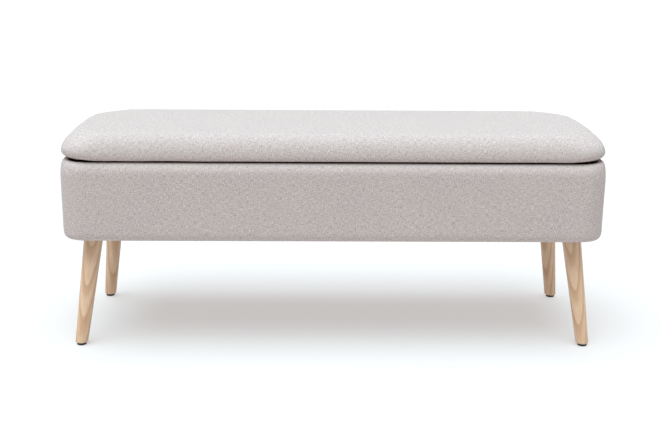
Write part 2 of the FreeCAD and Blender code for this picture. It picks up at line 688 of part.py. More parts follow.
def stay(side, sx):
    inner = size("arm_x")
    outer = inner + size("arm_thick")
    play = size("side_play")
    head = size("head_thick")
    stud_parts = [
        side_rod("stud_head_" + side, sx, size("stud_head_radius"), inner - play - head, inner - play,
                 stud_y, stud_z),
        side_rod("stud_core_" + side, sx, size("stud_radius"), inner - play, inner_wall_x,
                 stud_y, stud_z),
        side_rod("stud_collar_" + side, sx, size("collar_radius"), outer + play, box_bracket_x,
                 stud_y, stud_z),
    ]
    node(fuse("stud_" + side, stud_parts), "stay_stud_" + side)
    spare = size("spare")
    plate_rear = stud_y + size("wall_bracket_rear")
    plate_front = plate_rear - size("wall_bracket_side")
    plate_half = size("wall_bracket_side") / 2
    bracket = side_block("wall_plate_" + side, sx, box_bracket_x, inner_wall_x,
                         (plate_front, stud_z - plate_half), (plate_rear, stud_z + plate_half))
    stud_hole = side_rod("stud_hole_" + side, sx, size("stud_radius") + size("hole_play"),
                         box_bracket_x - spare, inner_wall_x + spare, stud_y, stud_z)
    wall_cutters = group("wall_plate_holes_" + side, [stud_hole, stay_wall_sets[side][1]])
    node(cut("wall_bracket_" + side, bracket, wall_cutters), "stay_wall_bracket_" + side)

    flange_x = outer + play
    flange_far = flange_x + size("bracket_thick")
    lining_low = size("lid_bottom") - size("dust")
    angle_front = pivot_y - size("lid_bracket_half")
    angle_rear = pivot_y + size("lid_bracket_half")
    upright = side_block("lid_plate_" + side, sx, flange_x, flange_far,
                         (angle_front, pivot_z - size("lid_bracket_drop")), (angle_rear, lining_low))
    flat = side_block("lid_flange_" + side, sx, size("lid_bracket_near"), flange_far,
                      (angle_front, flange_low), (angle_rear, lining_low))
    rivet_hole = side_rod("rivet_hole_" + side, sx, size("rivet_radius") + size("hole_play"),
                          flange_x - spare, flange_far + spare, pivot_y, pivot_z)
    angle_iron = fuse("lid_angle_" + side, [upright, flat])
    lid_cutters = group("lid_plate_holes_" + side, [rivet_hole, stay_lid_holes])
    node(cut("lid_bracket_" + side, angle_iron, lid_cutters), "stay_lid_bracket_" + side)
    rivet_parts = [
        side_rod("rivet_core_" + side, sx, size("rivet_radius"), inner - play, flange_far,
                 pivot_y, pivot_z),
        side_rod("rivet_head_" + side, sx, size("rivet_head_radius"), inner - play - head,
                 inner - play, pivot_y, pivot_z),
        side_rod("rivet_tail_" + side, sx, size("rivet_head_radius"), flange_far,
                 flange_far + size("rivet_tail"), pivot_y, pivot_z),
    ]
    node(fuse("rivet_" + side, rivet_parts), "stay_rivet_" + side)
    node(arm(side, sx), "stay_arm_" + side)


def arm_face(half_width, first, last):
    """A round-ended strip in the YZ plane, hanging down from the pivot at the origin."""
    right = Part.LineSegment(V(0, half_width, -first), V(0, half_width, -last))
    left = Part.LineSegment(V(0, -half_width, -last), V(0, -half_width, -first))
    low = Part.Arc(V(0, half_width, -last), V(0, 0, -last - half_width), V(0, -half_width, -last))
    top = Part.Arc(V(0, -half_width, -first), V(0, 0, -first + half_width), V(0, half_width, -first))
    edges = [curve.toShape() for curve in (right, low, left, top)]
    return Part.Face(Part.Wire(edges))


def arm(side, sx):
    """The flat strip with a rivet hole near its top and a long slot below."""
    slot_radius = size("stud_radius") + size("slot_play")
    strip = arm_face(size("arm_radius"), 0, slot_end + size("slot_play") + slot_radius)
    slot = arm_face(slot_radius, slot_start, slot_end + size("slot_play"))
    thick = X_AXIS * size("arm_thick")
    solid = strip.extrude(thick).cut(slot.extrude(thick))
    hole = Part.makeCylinder(size("rivet_radius") + size("pin_play"), size("arm_thick"), V(), X_AXIS)
    item = doc.addObject("Part::Feature", "arm_" + side)
    item.Shape = solid.cut(hole)
    near = size("arm_x") if sx > 0 else -size("arm_x") - size("arm_thick")
    lean = FreeCAD.Rotation(X_AXIS, arm_lean)
    item.Placement = FreeCAD.Placement(V(near, pivot_y, pivot_z), lean)
    return item


for side, sx in SIDES.items():
    stay(side, sx)
wall_sets = [stay_wall_sets[side][0] for side in SIDES]
node(group("stay_wall_screw_set", wall_sets), "stay_wall_screws")
node(stay_lid_screws, "stay_lid_screws")

# ---------------------------------------------------------------- check and write
doc.recompute()
for item in doc.Objects:
    if "Invalid" in item.State or "Error" in item.State:
        raise RuntimeError(f"{item.Name} did not rebuild: {item.State}")
os.makedirs("parts", exist_ok=True)
for item in nodes:
    shape = item.Shape
    if shape.isNull() or not shape.isValid() or not shape.Solids:
        raise RuntimeError(f"{item.Label} has no valid solid")
    shape.exportStep(f"parts/{item.Label}.step")
    bounds = shape.BoundBox
    print(f"{item.Label:28s} {len(shape.Solids):3d} solids {shape.Volume / 1000:9.1f} cm3"
          f"  x {bounds.XMin:8.2f} {bounds.XMax:8.2f}  y {bounds.YMin:8.2f} {bounds.YMax:8.2f}"
          f"  z {bounds.ZMin:8.2f} {bounds.ZMax:8.2f}")
print(len(nodes), "nodes; lid pivot", round(pivot_y, 3), round(pivot_z, 3),
      "stud", round(stud_y, 3), round(stud_z, 3), "slot", round(slot_start, 2), round(slot_end, 2))
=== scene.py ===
# %% [markdown]
# # A storage bench, from frame to fabric
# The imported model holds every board, hinge and screw at its true place. This file
# dresses it: padded fabric over the lid and the box, cloth linings, turned legs with
# grain, screw heads, staples and stitches. Nothing from the frame is moved.
# The frame is in metres: +X runs along the bench, -Y is its front, +Z is up.

# %% Load the frame
import json
import math

import bmesh
import bpy
import numpy as np
from mathutils import Matrix, Vector, noise


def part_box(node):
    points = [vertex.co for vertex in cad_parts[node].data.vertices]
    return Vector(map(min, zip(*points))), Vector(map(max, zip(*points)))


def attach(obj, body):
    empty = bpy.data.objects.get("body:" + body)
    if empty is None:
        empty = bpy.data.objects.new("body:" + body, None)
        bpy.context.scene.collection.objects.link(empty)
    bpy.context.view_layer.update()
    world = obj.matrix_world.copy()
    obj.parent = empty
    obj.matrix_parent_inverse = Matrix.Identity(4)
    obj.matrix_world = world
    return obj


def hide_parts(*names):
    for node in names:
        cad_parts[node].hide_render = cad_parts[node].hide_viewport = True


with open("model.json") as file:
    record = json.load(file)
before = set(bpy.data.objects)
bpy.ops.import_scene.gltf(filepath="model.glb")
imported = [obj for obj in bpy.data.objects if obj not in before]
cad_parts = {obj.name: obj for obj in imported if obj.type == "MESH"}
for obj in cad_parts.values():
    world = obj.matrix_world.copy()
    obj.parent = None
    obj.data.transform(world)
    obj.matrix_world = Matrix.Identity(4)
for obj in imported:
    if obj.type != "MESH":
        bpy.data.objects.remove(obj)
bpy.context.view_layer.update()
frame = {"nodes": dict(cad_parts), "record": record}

# %% [markdown]
# The main sizes below are read from the frame's own pieces, so the cloth always fits the
# boards under it; the two corner radii are given. Millimetres are easier to think in for
# cloth, so `MM` turns them into metres.

# %% Sizes read from the frame
MM = 0.001
box_low, box_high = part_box("box_cover")
lid_low, lid_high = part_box("lid_cover")
panel_low, panel_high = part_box("front_panel")
board_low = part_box("bottom_board")[0]
lining_low, lining_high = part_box("box_lining")
lid_board_low, lid_board_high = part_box("lid_board")
BOX_LENGTH = box_high.x - box_low.x
BOX_DEPTH = box_high.y - box_low.y
LID_LENGTH = lid_high.x - lid_low.x
LID_DEPTH = lid_high.y - lid_low.y
PANEL_OUTSIDE = round(panel_low.y - box_low.y, 5)
PANEL_INSIDE = round(panel_high.y - box_low.y, 5)
LID_BOARD_EDGE = round(lid_board_low.x - lid_low.x, 5)
BOX_CORNER = 65 * MM
LID_CORNER = 74 * MM
print("box", round(BOX_LENGTH, 3), "by", round(BOX_DEPTH, 3), "metres")
print("lid", round(LID_LENGTH, 3), "by", round(LID_DEPTH, 3), "metres")


# %% [markdown]
# ## Sums on sockets
# A material is a sum over nodes. Written as nodes it is hard to read, so one small
# class wraps an output socket and overloads the operators: `1 - mask` then makes the
# Subtract node itself. Any other node comes from `Finish.add`, which takes the node's
# type, its settings and what goes into its sockets.

# %% The socket class
class Wire:
    def __init__(self, finish, socket):
        self.finish = finish
        self.socket = socket

    def maths(self, operation, *others):
        return self.finish.add("ShaderNodeMath", {"operation": operation},
                               dict(enumerate((self,) + others)))

    def __add__(self, other):
        return self.maths("ADD", other)

    def __sub__(self, other):
        return self.maths("SUBTRACT", other)

    def __mul__(self, other):
        return self.maths("MULTIPLY", other)

    def __truediv__(self, other):
        return self.maths("DIVIDE", other)

    def __pow__(self, other):
        return self.maths("POWER", other)

    def __rsub__(self, other):
        return self.finish.add("ShaderNodeMath", {"operation": "SUBTRACT"}, {0: other, 1: self})

    def __gt__(self, other):
        return self.maths("GREATER_THAN", other)

    __radd__ = __add__
    __rmul__ = __mul__

    def absolute(self):
        return self.maths("ABSOLUTE")

    def fraction(self):
        return self.maths("FRACT")

    def sine(self):
        return self.maths("SINE")

    def root(self):
        return self.maths("SQRT")

    def spread(self, low, high, to_low=0.0, to_high=1.0):
        """Stretch low..high to a new range, smoothly and held at its ends."""
        return self.finish.add("ShaderNodeMapRange", {"interpolation_type": "SMOOTHSTEP"},
                               {0: self, 1: low, 2: high, 3: to_low, 4: to_high})


# %% The finish class
def tint(red, green, blue):
    """A colour given the way paint charts give it, 0 to 255, as Blender's linear light."""
    linear = []
    for part in (red, green, blue):
        share = part / 255
        linear.append(share / 12.92 if share < 0.04045 else ((share + 0.055) / 1.055) ** 2.4)
    return (*linear, 1.0)


class Finish:
    """One material. Its varying parts are wires, and its constants are set on the shader."""

    def __init__(self, name):
        self.material = bpy.data.materials.new(name)
        self.material.use_nodes = True
        self.tree = self.material.node_tree
        self.tree.nodes.clear()
        self.out = self.tree.nodes.new("ShaderNodeOutputMaterial")
        self.shader = self.tree.nodes.new("ShaderNodeBsdfPrincipled")
        self.tree.links.new(self.shader.outputs[0], self.out.inputs["Surface"])

    def add(self, kind, settings=None, sockets=None, output=0):
        node = self.tree.nodes.new(kind)
        for word, value in (settings or {}).items():
            if word == "stops":
                self.stops(node.color_ramp, value)
            else:
                setattr(node, word, value)
        for place, value in (sockets or {}).items():
            if isinstance(value, Wire):
                self.tree.links.new(value.socket, node.inputs[place])
            else:
                node.inputs[place].default_value = value
        return Wire(self, node.outputs[output])

    def stops(self, ramp, stops):
        while len(ramp.elements) > 1:
            ramp.elements.remove(ramp.elements[-1])
        ramp.elements[0].position, ramp.elements[0].color = stops[0]
        for position, colour in stops[1:]:
            ramp.elements.new(position).color = colour

    def ramp(self, amount, stops):
        return self.add("ShaderNodeValToRGB", {"stops": stops}, {0: amount})

    def mix(self, amount, first, second, blend="MIX"):
        return self.add("ShaderNodeMix", {"data_type": "RGBA", "blend_type": blend},
                        {0: amount, 6: first, 7: second}, output=2)

    def split(self, vector):
        node = self.add("ShaderNodeSeparateXYZ", {}, {0: vector}).socket.node
        return [Wire(self, node.outputs[index]) for index in range(3)]

    def join(self, x, y, z=0.0):
        return self.add("ShaderNodeCombineXYZ", {}, {0: x, 1: y, 2: z})

    def noise(self, vector, scale, detail=2.0, rough=0.5):
        return self.add("ShaderNodeTexNoise", {"noise_dimensions": "3D"},
                        {"Vector": vector, "Scale": scale, "Detail": detail, "Roughness": rough})

    def object_space(self, scale=(1, 1, 1)):
        place = self.add("ShaderNodeTexCoord", {}, {}, output=3)
        return self.add("ShaderNodeMapping", {}, {0: place, 3: scale})

    def bump(self, height, depth, strength=1.0):
        normal = self.add("ShaderNodeBump", {}, {"Height": height, "Distance": depth,
                                                 "Strength": strength})
        self.tree.links.new(normal.socket, self.shader.inputs["Normal"])

    def dress(self, **inputs):
        """Set the shader's inputs: Base_Color=..., Roughness=... and so on."""
        for word, value in inputs.items():
            socket = self.shader.inputs[word.replace("_", " ")]
            if isinstance(value, Wire):
                self.tree.links.new(value.socket, socket)
            else:
                socket.default_value = value
        return self.material


print("colour check", [round(part, 3) for part in tint(183, 177, 174)])


# %% [markdown]
# ## The upholstery cloth
# The bench wears a plain weave with the look of linen: warp and weft cross one over
# one, each thread is a slightly different beige or grey, and a few are paler. Drawn
# from noise alone it would look like felt. So the weave is worked out thread by
# thread, on a UV map that is measured in metres along the cloth. The product of two
# sines changes sign at each crossing, and its sign says which thread lies on top.

# %% Woven cloth
def woven(name, pitch, threads, pale, speckle, depth, mottle):
    """A plain weave with threads `pitch` metres apart."""
    cloth = Finish(name)
    map_node = cloth.add("ShaderNodeUVMap", {"uv_map": "weave"})
    u, v, _ = cloth.split(map_node)
    drift = cloth.noise(map_node, 45.0, 1.0)
    across = u / pitch + drift * 1.4
    along = v / pitch + drift * 1.1
    wave_a = (across * math.pi).sine()
    wave_b = (along * math.pi).sine()
    warp_on_top = (wave_a * wave_b) > 0.0
    a = wave_a.absolute()
    b = wave_b.absolute()
    warp_height = a * b ** 0.35
    weft_height = b * a ** 0.35
    height = warp_on_top * warp_height + (1 - warp_on_top) * weft_height
    warp_tone = cloth.noise(cloth.join(across, along * 0.13), 1.0, 1.0)
    weft_tone = cloth.noise(cloth.join(across * 0.13, along, 40.0), 1.0, 1.0)
    tone = warp_on_top * warp_tone + (1 - warp_on_top) * weft_tone
    flecks = cloth.noise(map_node, speckle, 3.0, 0.7)
    tone = tone * 0.45 + flecks * 0.55
    colour = cloth.ramp(tone, [(place, tint(*shade)) for place, shade in threads])
    slub_warp = cloth.noise(cloth.join(u * 700.0, v * 26.0, 9.0), 1.0, 1.0)
    slub_weft = cloth.noise(cloth.join(u * 26.0, v * 700.0, 5.0), 1.0, 1.0)
    slub = slub_warp.spread(0.66, 0.80) + slub_weft.spread(0.66, 0.80)
    colour = cloth.mix(slub * 0.5, colour, tint(*pale))
    broad = cloth.noise(map_node, 9.0, 3.0, 0.55)
    shade = cloth.mix(broad.spread(0.3, 0.7), tint(*mottle[0]), tint(*mottle[1]))
    colour = cloth.mix(0.55, colour, shade, "SOFT_LIGHT")
    # The low parts of the weave, between the crossing threads, are darkened in the colour: painted
    # shade in the crevices.
    painted_crevice_shade = height.spread(0.0, 0.7, 0.74, 1.0)
    colour = cloth.mix(1.0, colour, cloth.join(painted_crevice_shade, painted_crevice_shade, painted_crevice_shade), "MULTIPLY")
    cloth.bump(height + slub * 0.5, depth, 0.45)
    return cloth.dress(Base_Color=colour, Roughness=0.93, Specular_IOR_Level=0.1,
                       Sheen_Weight=0.1, Sheen_Roughness=0.5)


upholstery = woven(
    "upholstery", 1.15 * MM,
    threads=[(0.34, (146, 133, 128)), (0.43, (185, 173, 169)), (0.50, (207, 196, 193)),
             (0.57, (220, 210, 207)), (0.66, (242, 234, 231))],
    pale=(236, 230, 225), speckle=520.0, depth=0.25 * MM,
    mottle=[(122, 120, 122), (137, 134, 128)])
print("made", upholstery.name)


# %% [markdown]
# ## Lining, dust cloth and the hidden layers
# The box is lined with a fine grey cotton, woven like the upholstery but tighter. The
# dust cloth under the bench is spun-bonded: fibres pressed flat and dotted with small
# welds, so it is made of fibre noise and a grid of dimples, not of threads.

# %% Lining and dust cloth
lining_fabric = woven(
    "lining_fabric", 0.6 * MM,
    threads=[(0.30, (70, 68, 66)), (0.45, (84, 82, 80)), (0.55, (92, 90, 87)),
             (0.70, (108, 105, 101))],
    pale=(120, 117, 112), speckle=600.0, depth=0.2 * MM,
    mottle=[(120, 120, 121), (136, 135, 133)])


def spun_bonded():
    cloth = Finish("dust_cloth")
    place = cloth.object_space()
    x, y, _ = cloth.split(place)
    fibres = cloth.noise(cloth.object_space((260, 1500, 260)), 1.0, 3.0, 0.6)
    crossing = cloth.noise(cloth.object_space((1500, 240, 260)), 1.0, 3.0, 0.6)
    weld_pitch = 1.6 * MM
    dots = ((x * (math.pi / weld_pitch)).sine() * (y * (math.pi / weld_pitch)).sine()).absolute()
    welds = dots.spread(0.75, 0.95)
    colour = cloth.mix(fibres * 0.5 + crossing * 0.5, tint(22, 22, 23), tint(62, 61, 60))
    colour = cloth.mix(welds * 0.5, colour, tint(18, 18, 18))
    cloth.bump(fibres * 0.4 + crossing * 0.4 - welds, 0.15 * MM, 0.6)
    return cloth.dress(Base_Color=colour, Roughness=0.85, Sheen_Weight=0.1)


dust_cloth = spun_bonded()
print("made", lining_fabric.name, dust_cloth.name)


# %% [markdown]
# Foam and plywood are hidden in the finished bench, but a buyer may take it apart, so
# they get true finishes too: open cells for the foam, plies and face grain for the
# boards.

# %% Foam and plywood
def open_cell_foam():
    foam = Finish("foam")
    cells = foam.add("ShaderNodeTexVoronoi", {}, {"Vector": foam.object_space(), "Scale": 900.0})
    clouds = foam.noise(foam.object_space(), 14.0, 3.0)
    colour = foam.mix(clouds, tint(232, 221, 182), tint(243, 235, 205))
    # The hollows of the cells are darkened in the colour: painted shade in the pores.
    colour = foam.mix(cells.spread(0.25, 0.6), tint(188, 174, 132), colour)
    foam.bump(cells, 0.4 * MM, 0.5)
    return foam.dress(Base_Color=colour, Roughness=0.95)


def birch_ply():
    ply = Finish("plywood")
    _, _, height = ply.split(ply.object_space())
    grain = ply.noise(ply.object_space((9, 160, 160)), 1.0, 4.0, 0.6)
    layers = (height * (math.pi / (1.7 * MM))).sine().spread(-0.2, 0.2)
    colour = ply.ramp(grain, [(0.3, tint(176, 139, 96)), (0.5, tint(206, 172, 128)),
                              (0.7, tint(222, 192, 150))])
    colour = ply.mix(layers * 0.18, colour, tint(150, 112, 72))
    ply.bump(grain, 0.15 * MM, 0.4)
    return ply.dress(Base_Color=colour, Roughness=grain.spread(0.2, 0.8, 0.5, 0.68))


foam_finish = open_cell_foam()
plywood = birch_ply()
print("made", foam_finish.name, plywood.name)


# %% [markdown]
# ## Leg wood
# The legs are turned from a pale ring-grown hardwood. A turned taper cuts through the
# growth rings at a shallow angle, and that is what draws the pointed arches on its
# face. So the grain here is a stack of rings about a pith that leans and stands
# outside the leg, read in the leg's own space: the attribute `leg_space`, made with
# the leg, gives each point's place across and along its leg.

# %% Turned hardwood
def hardwood():
    wood = Finish("leg_wood")
    space = wood.add("ShaderNodeAttribute", {"attribute_name": "leg_space"}, {}, output=1)
    x, y, z = wood.split(space)
    sway = wood.noise(wood.join(x * 9.0, y * 9.0, z * 5.0), 1.0, 2.0)
    ripple = wood.noise(wood.join(x * 60.0, y * 60.0, z * 12.0), 1.0, 2.0)
    lean_x = x + z * 0.06 + (sway - 0.5) * 0.012
    lean_y = y - z * 0.012 + (ripple - 0.5) * 0.0016
    radius = (lean_x * lean_x + lean_y * lean_y).root()
    ring = (radius / (8.2 * MM)).fraction()
    late = ring.spread(0.35, 0.92) * (1 - ring.spread(0.94, 1.0))
    fibre = wood.noise(wood.join(x * 900.0, y * 900.0, z * 22.0), 1.0, 3.0, 0.6)
    pores = wood.noise(wood.join(x * 1500.0, y * 1500.0, z * 70.0), 1.0, 1.0).spread(0.62, 0.74)
    colour = wood.ramp(fibre, [(0.3, tint(206, 170, 138)), (0.52, tint(220, 187, 155)),
                               (0.72, tint(230, 200, 170))])
    colour = wood.mix(late * 0.55, colour, tint(176, 128, 92))
    colour = wood.mix(pores * (0.25 + late * 0.35), colour, tint(128, 90, 62))
    broad = wood.noise(wood.join(x * 20.0, y * 20.0, z * 9.0), 1.0, 2.0)
    colour = wood.mix(broad.spread(0.35, 0.75, 0.0, 0.35), colour, tint(188, 140, 100))
    wood.bump(fibre * 0.3 - pores - late * 0.25, 0.12 * MM, 0.35)
    return wood.dress(Base_Color=colour, Roughness=fibre.spread(0.2, 0.8, 0.38, 0.5),
                      Coat_Weight=0.12, Coat_Roughness=0.3)


leg_wood = hardwood()
print("made", leg_wood.name)


# %% [markdown]
# ## Metal, plastic and rubber
# Zinc plate is grey with a cloudy bloom and fine scratches from the press. Screws are
# brighter. The glides are black moulded plastic, scuffed a little where they meet the
# floor, and the bumpers are matt rubber.

# %% Hardware finishes
def plated(name, dark, light, scratches):
    metal = Finish(name)
    bloom = metal.noise(metal.object_space(), 90.0, 3.0, 0.6)
    lines = metal.noise(metal.object_space((40, 2200, 2200)), 1.0, 2.0)
    colour = metal.mix(bloom, tint(*dark), tint(*light))
    metal.bump(lines, 0.03 * MM, scratches)
    rough = bloom.spread(0.3, 0.7, 0.28, 0.42) + lines * 0.12
    return metal.dress(Base_Color=colour, Metallic=1.0, Roughness=rough)


def moulded(name, base, worn, low, high, scale):
    plastic = Finish(name)
    _, _, height = plastic.split(plastic.object_space())
    grit = plastic.noise(plastic.object_space(), scale, 3.0)
    wear = (1 - height.spread(low, high)) * grit.spread(0.4, 0.7)
    colour = plastic.mix(wear * 0.6, tint(*base), tint(*worn))
    plastic.bump(grit, 0.05 * MM, 0.3)
    return plastic.dress(Base_Color=colour, Roughness=grit.spread(0.3, 0.7, 0.42, 0.6))


zinc_steel = plated("zinc_steel", (148, 148, 146), (186, 187, 188), 0.25)
screw_steel = plated("screw_steel", (168, 166, 160), (206, 204, 198), 0.15)
glide_plastic = moulded("glide_plastic", (24, 24, 25), (74, 72, 70), 0.0, 2 * MM, 1400.0)
rubber = moulded("rubber", (26, 26, 26), (48, 47, 46), 0.0, 1 * MM, 900.0)
staple_wire = plated("staple_wire", (150, 150, 150), (205, 206, 208), 0.1)

FINISHES = {
    "upholstery": upholstery, "lining_fabric": lining_fabric, "dust_cloth": dust_cloth,
    "foam": foam_finish, "plywood": plywood, "leg_wood": leg_wood,
    "glide_plastic": glide_plastic, "zinc_steel": zinc_steel, "screw_steel": screw_steel,
    "rubber": rubber,
}
for part in frame["record"]["subparts"]:
    holder = frame["nodes"][part["node"]]
    holder.data.materials.clear()
    holder.data.materials.append(FINISHES[part["material_slot"]])


# %% [markdown]
# ## A plan with rounded corners
# The box, the lid, the linings and the dust cover share one plan: a rectangle with
# rounded corners. `Plan` walks round it once, and for every step keeps a point on the
# inner rectangle of corner centres and the outward direction there. Any inset of the
# plan is then one line of arithmetic, and rings at different insets and heights join
# up point for point into a skin. A ring may also be `rounder`: its corner centres move
# inwards and its corners widen by as much, so its walls stay where they were.

# %% The plan
class Plan:
    def __init__(self, length, depth, corner, cell, corner_cells=14):
        half_x = length / 2 - corner
        half_y = depth / 2 - corner
        self.corner = corner
        self.half = np.array([half_x, half_y])
        long_cells = max(2, round(2 * half_x / cell))
        short_cells = max(2, round(2 * half_y / cell))
        self.across = long_cells + corner_cells
        self.deep = short_cells + corner_cells
        anchors = []
        angles = []
        quarter = math.pi / 2
        walls = [((-half_x, -half_y), (half_x, -half_y), long_cells),
                 ((half_x, -half_y), (half_x, half_y), short_cells),
                 ((half_x, half_y), (-half_x, half_y), long_cells),
                 ((-half_x, half_y), (-half_x, -half_y), short_cells)]
        for turn, (start, end, cells) in enumerate(walls):
            facing = (turn - 1) * quarter
            for step in range(corner_cells // 2):
                anchors.append(start)
                angles.append(facing - quarter / 2 + quarter * step / corner_cells)
            for step in range(cells + 1):
                share = step / cells
                anchors.append((start[0] + (end[0] - start[0]) * share,
                                start[1] + (end[1] - start[1]) * share))
                angles.append(facing)
            for step in range(1, corner_cells // 2):
                anchors.append(end)
                angles.append(facing + quarter * step / corner_cells)
        self.anchor = np.array(anchors)
        self.normal = np.stack([np.cos(angles), np.sin(angles)], axis=1)
        self.count = len(anchors)
        outline = self.ring(0.0)
        steps = np.linalg.norm(np.roll(outline, -1, axis=0) - outline, axis=1)
        self.along = np.concatenate([[0.0], np.cumsum(steps)])

    def ring(self, inset, rounder=0.0):
        """The outline moved inwards, by one distance or one a point, with wider corners."""
        reach = self.corner + rounder - np.asarray(inset)
        anchor = self.anchor * (1 - rounder / self.half)
        return anchor + self.normal * (reach[:, None] if np.ndim(reach) else reach)

    def row(self, inset, height, rounder=0.0):
        """A ring as points in space."""
        flat = self.ring(inset, rounder)
        return np.column_stack([flat, np.broadcast_to(height, self.count)])


lid_plan = Plan(LID_LENGTH, LID_DEPTH, LID_CORNER, 8 * MM)
print("a lid ring has", lid_plan.count, "points and is", round(lid_plan.along[-1], 3), "m round")


# %% [markdown]
# A ring can also be filled. The rounded outline is treated as the edge of a grid whose
# corners sit half way round each arc, and the inside is blended from the four edges.
# That is a Coons patch: it keeps the squares of the grid straight over the whole seat.
# Close to the rounded corners its cells grow thin, so the inside is then relaxed: each
# point moves to the middle of its four neighbours, which cannot fold a convex outline.

# %% Fill a ring with a grid
RELAXING_STEPS = 150


def coons(ring, plan):
    """Grid points, row after row, whose edge is the ring, point for point."""
    across = plan.across
    deep = plan.deep
    front = ring[:across + 1]
    right = ring[across:across + deep + 1]
    rear = ring[across + deep:2 * across + deep + 1][::-1]
    left = np.concatenate([ring[2 * across + deep:], ring[:1]])[::-1]
    u = np.linspace(0, 1, across + 1)[None, :, None]
    v = np.linspace(0, 1, deep + 1)[:, None, None]
    grid = (1 - v) * front[None] + v * rear[None]
    grid = grid + (1 - u) * left[:, None] + u * right[:, None]
    ends = (1 - u) * (1 - v) * front[0] + u * (1 - v) * front[-1]
    ends = ends + (1 - u) * v * rear[0] + u * v * rear[-1]
    grid = grid - ends
    for _ in range(RELAXING_STEPS):
        grid[1:-1, 1:-1] = (grid[:-2, 1:-1] + grid[2:, 1:-1]
                            + grid[1:-1, :-2] + grid[1:-1, 2:]) / 4
    return grid.reshape(-1, 3)


def grid_edge(plan):
    """Where a ring's points sit in the grid, in the ring's own order."""
    across = plan.across
    deep = plan.deep
    wide = across + 1
    front = [column for column in range(across)]
    right = [row * wide + across for row in range(deep)]
    rear = [deep * wide + column for column in range(across, 0, -1)]
    left = [row * wide for row in range(deep, 0, -1)]
    return front + right + rear + left


print("the lid's grid has", len(grid_edge(lid_plan)), "edge points")

# %% Build a mesh from rows
class Skin:
    """Collects points, faces and a weave map measured in metres."""

    def __init__(self):
        self.points = []
        self.faces = []
        self.maps = []

    def add_points(self, points):
        start = len(self.points)
        self.points.extend(map(tuple, points))
        return list(range(start, start + len(points)))

    def add_face(self, corners, places):
        self.faces.append(corners)
        self.maps.extend(places)

    def add_grid(self, flat, plan):
        """Quads over a grid, the weave laid flat on them. Returns the grid's edge ring."""
        numbers = self.add_points(flat)
        wide = plan.across + 1
        for deep in range(plan.deep):
            for across in range(plan.across):
                first = deep * wide + across
                corners = (first, first + 1, first + wide + 1, first + wide)
                self.add_face(tuple(numbers[corner] for corner in corners),
                              [tuple(flat[corner, :2]) for corner in corners])
        return [numbers[place] for place in grid_edge(plan)]

    def join(self, first, second, map_first, map_second, map_next_first, map_next_second):
        """Quads between two rings of point numbers, each with its own map places."""
        count = len(first)
        for step in range(count):
            after = (step + 1) % count
            self.add_face(
                (first[step], first[after], second[after], second[step]),
                (map_first[step], map_next_first[step], map_next_second[step], map_second[step]))

    def join_laid(self, first, second, place_first, place_second):
        """Join two rings whose map places are the same all round, with no seam."""
        self.join(first, second, place_first, place_second,
                  np.roll(place_first, -1, axis=0), np.roll(place_second, -1, axis=0))

    def finish(self, name, material):
        mesh = bpy.data.meshes.new(name)
        mesh.from_pydata(self.points, [], self.faces)
        layer = mesh.uv_layers.new(name="weave")
        flat = np.array(self.maps, dtype=np.float32).ravel()
        layer.data.foreach_set("uv", flat)
        mesh.materials.append(material)
        work = bmesh.new()
        work.from_mesh(mesh)
        bmesh.ops.recalc_face_normals(work, faces=work.faces)
        work.to_mesh(mesh)
        work.free()
        mesh.polygons.foreach_set("use_smooth", [True] * len(mesh.polygons))
        item = bpy.data.objects.new(name, mesh)
        bpy.context.scene.collection.objects.link(item)
        return item


def wrap_map(plan, rows, seam):
    """Map places for rings: distance round the plan from a seam, and distance down."""
    span = np.diff(plan.along)
    start = np.concatenate([plan.along[seam:-1] - plan.along[seam],
                            plan.along[:seam] + plan.along[-1] - plan.along[seam]])
    start = np.roll(start, seam)
    down = [0.0]
    for before, after in zip(rows, rows[1:]):
        down.append(down[-1] + float(np.linalg.norm(after - before, axis=1).mean()))
    here = [np.column_stack([start, np.full(plan.count, depth)]) for depth in down]
    there = [np.column_stack([start + span, np.full(plan.count, depth)]) for depth in down]
    return here, there


print("a skin is ready to take rings and grids")


# %% [markdown]
# ## Apply modifiers
# Every piece ends as a plain mesh. `bake` evaluates an object with its modifiers,
# takes the result as its new mesh and removes them.

# %% Bake modifiers
def bake(item):
    depsgraph = bpy.context.evaluated_depsgraph_get()
    done = bpy.data.meshes.new_from_object(
        item.evaluated_get(depsgraph), preserve_all_data_layers=True, depsgraph=depsgraph)
    item.modifiers.clear()
    old = item.data
    item.data = done
    bpy.data.meshes.remove(old)
    return item


def subdivide(item, levels=1):
    smooth = item.modifiers.new("smooth", "SUBSURF")
    smooth.levels = levels
    smooth.render_levels = levels
    return bake(item)


def close_hole(item):
    """Shut an open rim with one flat face."""
    work = bmesh.new()
    work.from_mesh(item.data)
    rim = [edge for edge in work.edges if edge.is_boundary]
    bmesh.ops.holes_fill(work, edges=rim, sides=0)
    work.to_mesh(item.data)
    work.free()


def wander(points, scale, seed):
    """Smooth noise at an array of points, from about -1 to 1, the same every run."""
    offset = Vector((seed * 7.3, seed * 3.1, seed * 5.7))
    return np.array([noise.noise(Vector(point) * scale + offset) for point in points])


def ease(values, low, high):
    share = np.clip((values - low) / (high - low), 0, 1)
    return share * share * (3 - 2 * share)


# %% [markdown]
# ## The lid cushion
# A foam pad on a board, with one sheet of cloth pulled down over its edges and stapled
# beneath. The sheet is a single piece, so the weave runs straight over the seat and
# down every side, and only the corners gather. The side is one soft curve: an ellipse
# from the seat down to the widest line, and a smaller one tucked under. The seat's own
# corners are rounder than the lid's plan, because foam wears round where three faces
# meet. Towards the ends the tuck opens, which lets the dark gap widen at the corners.

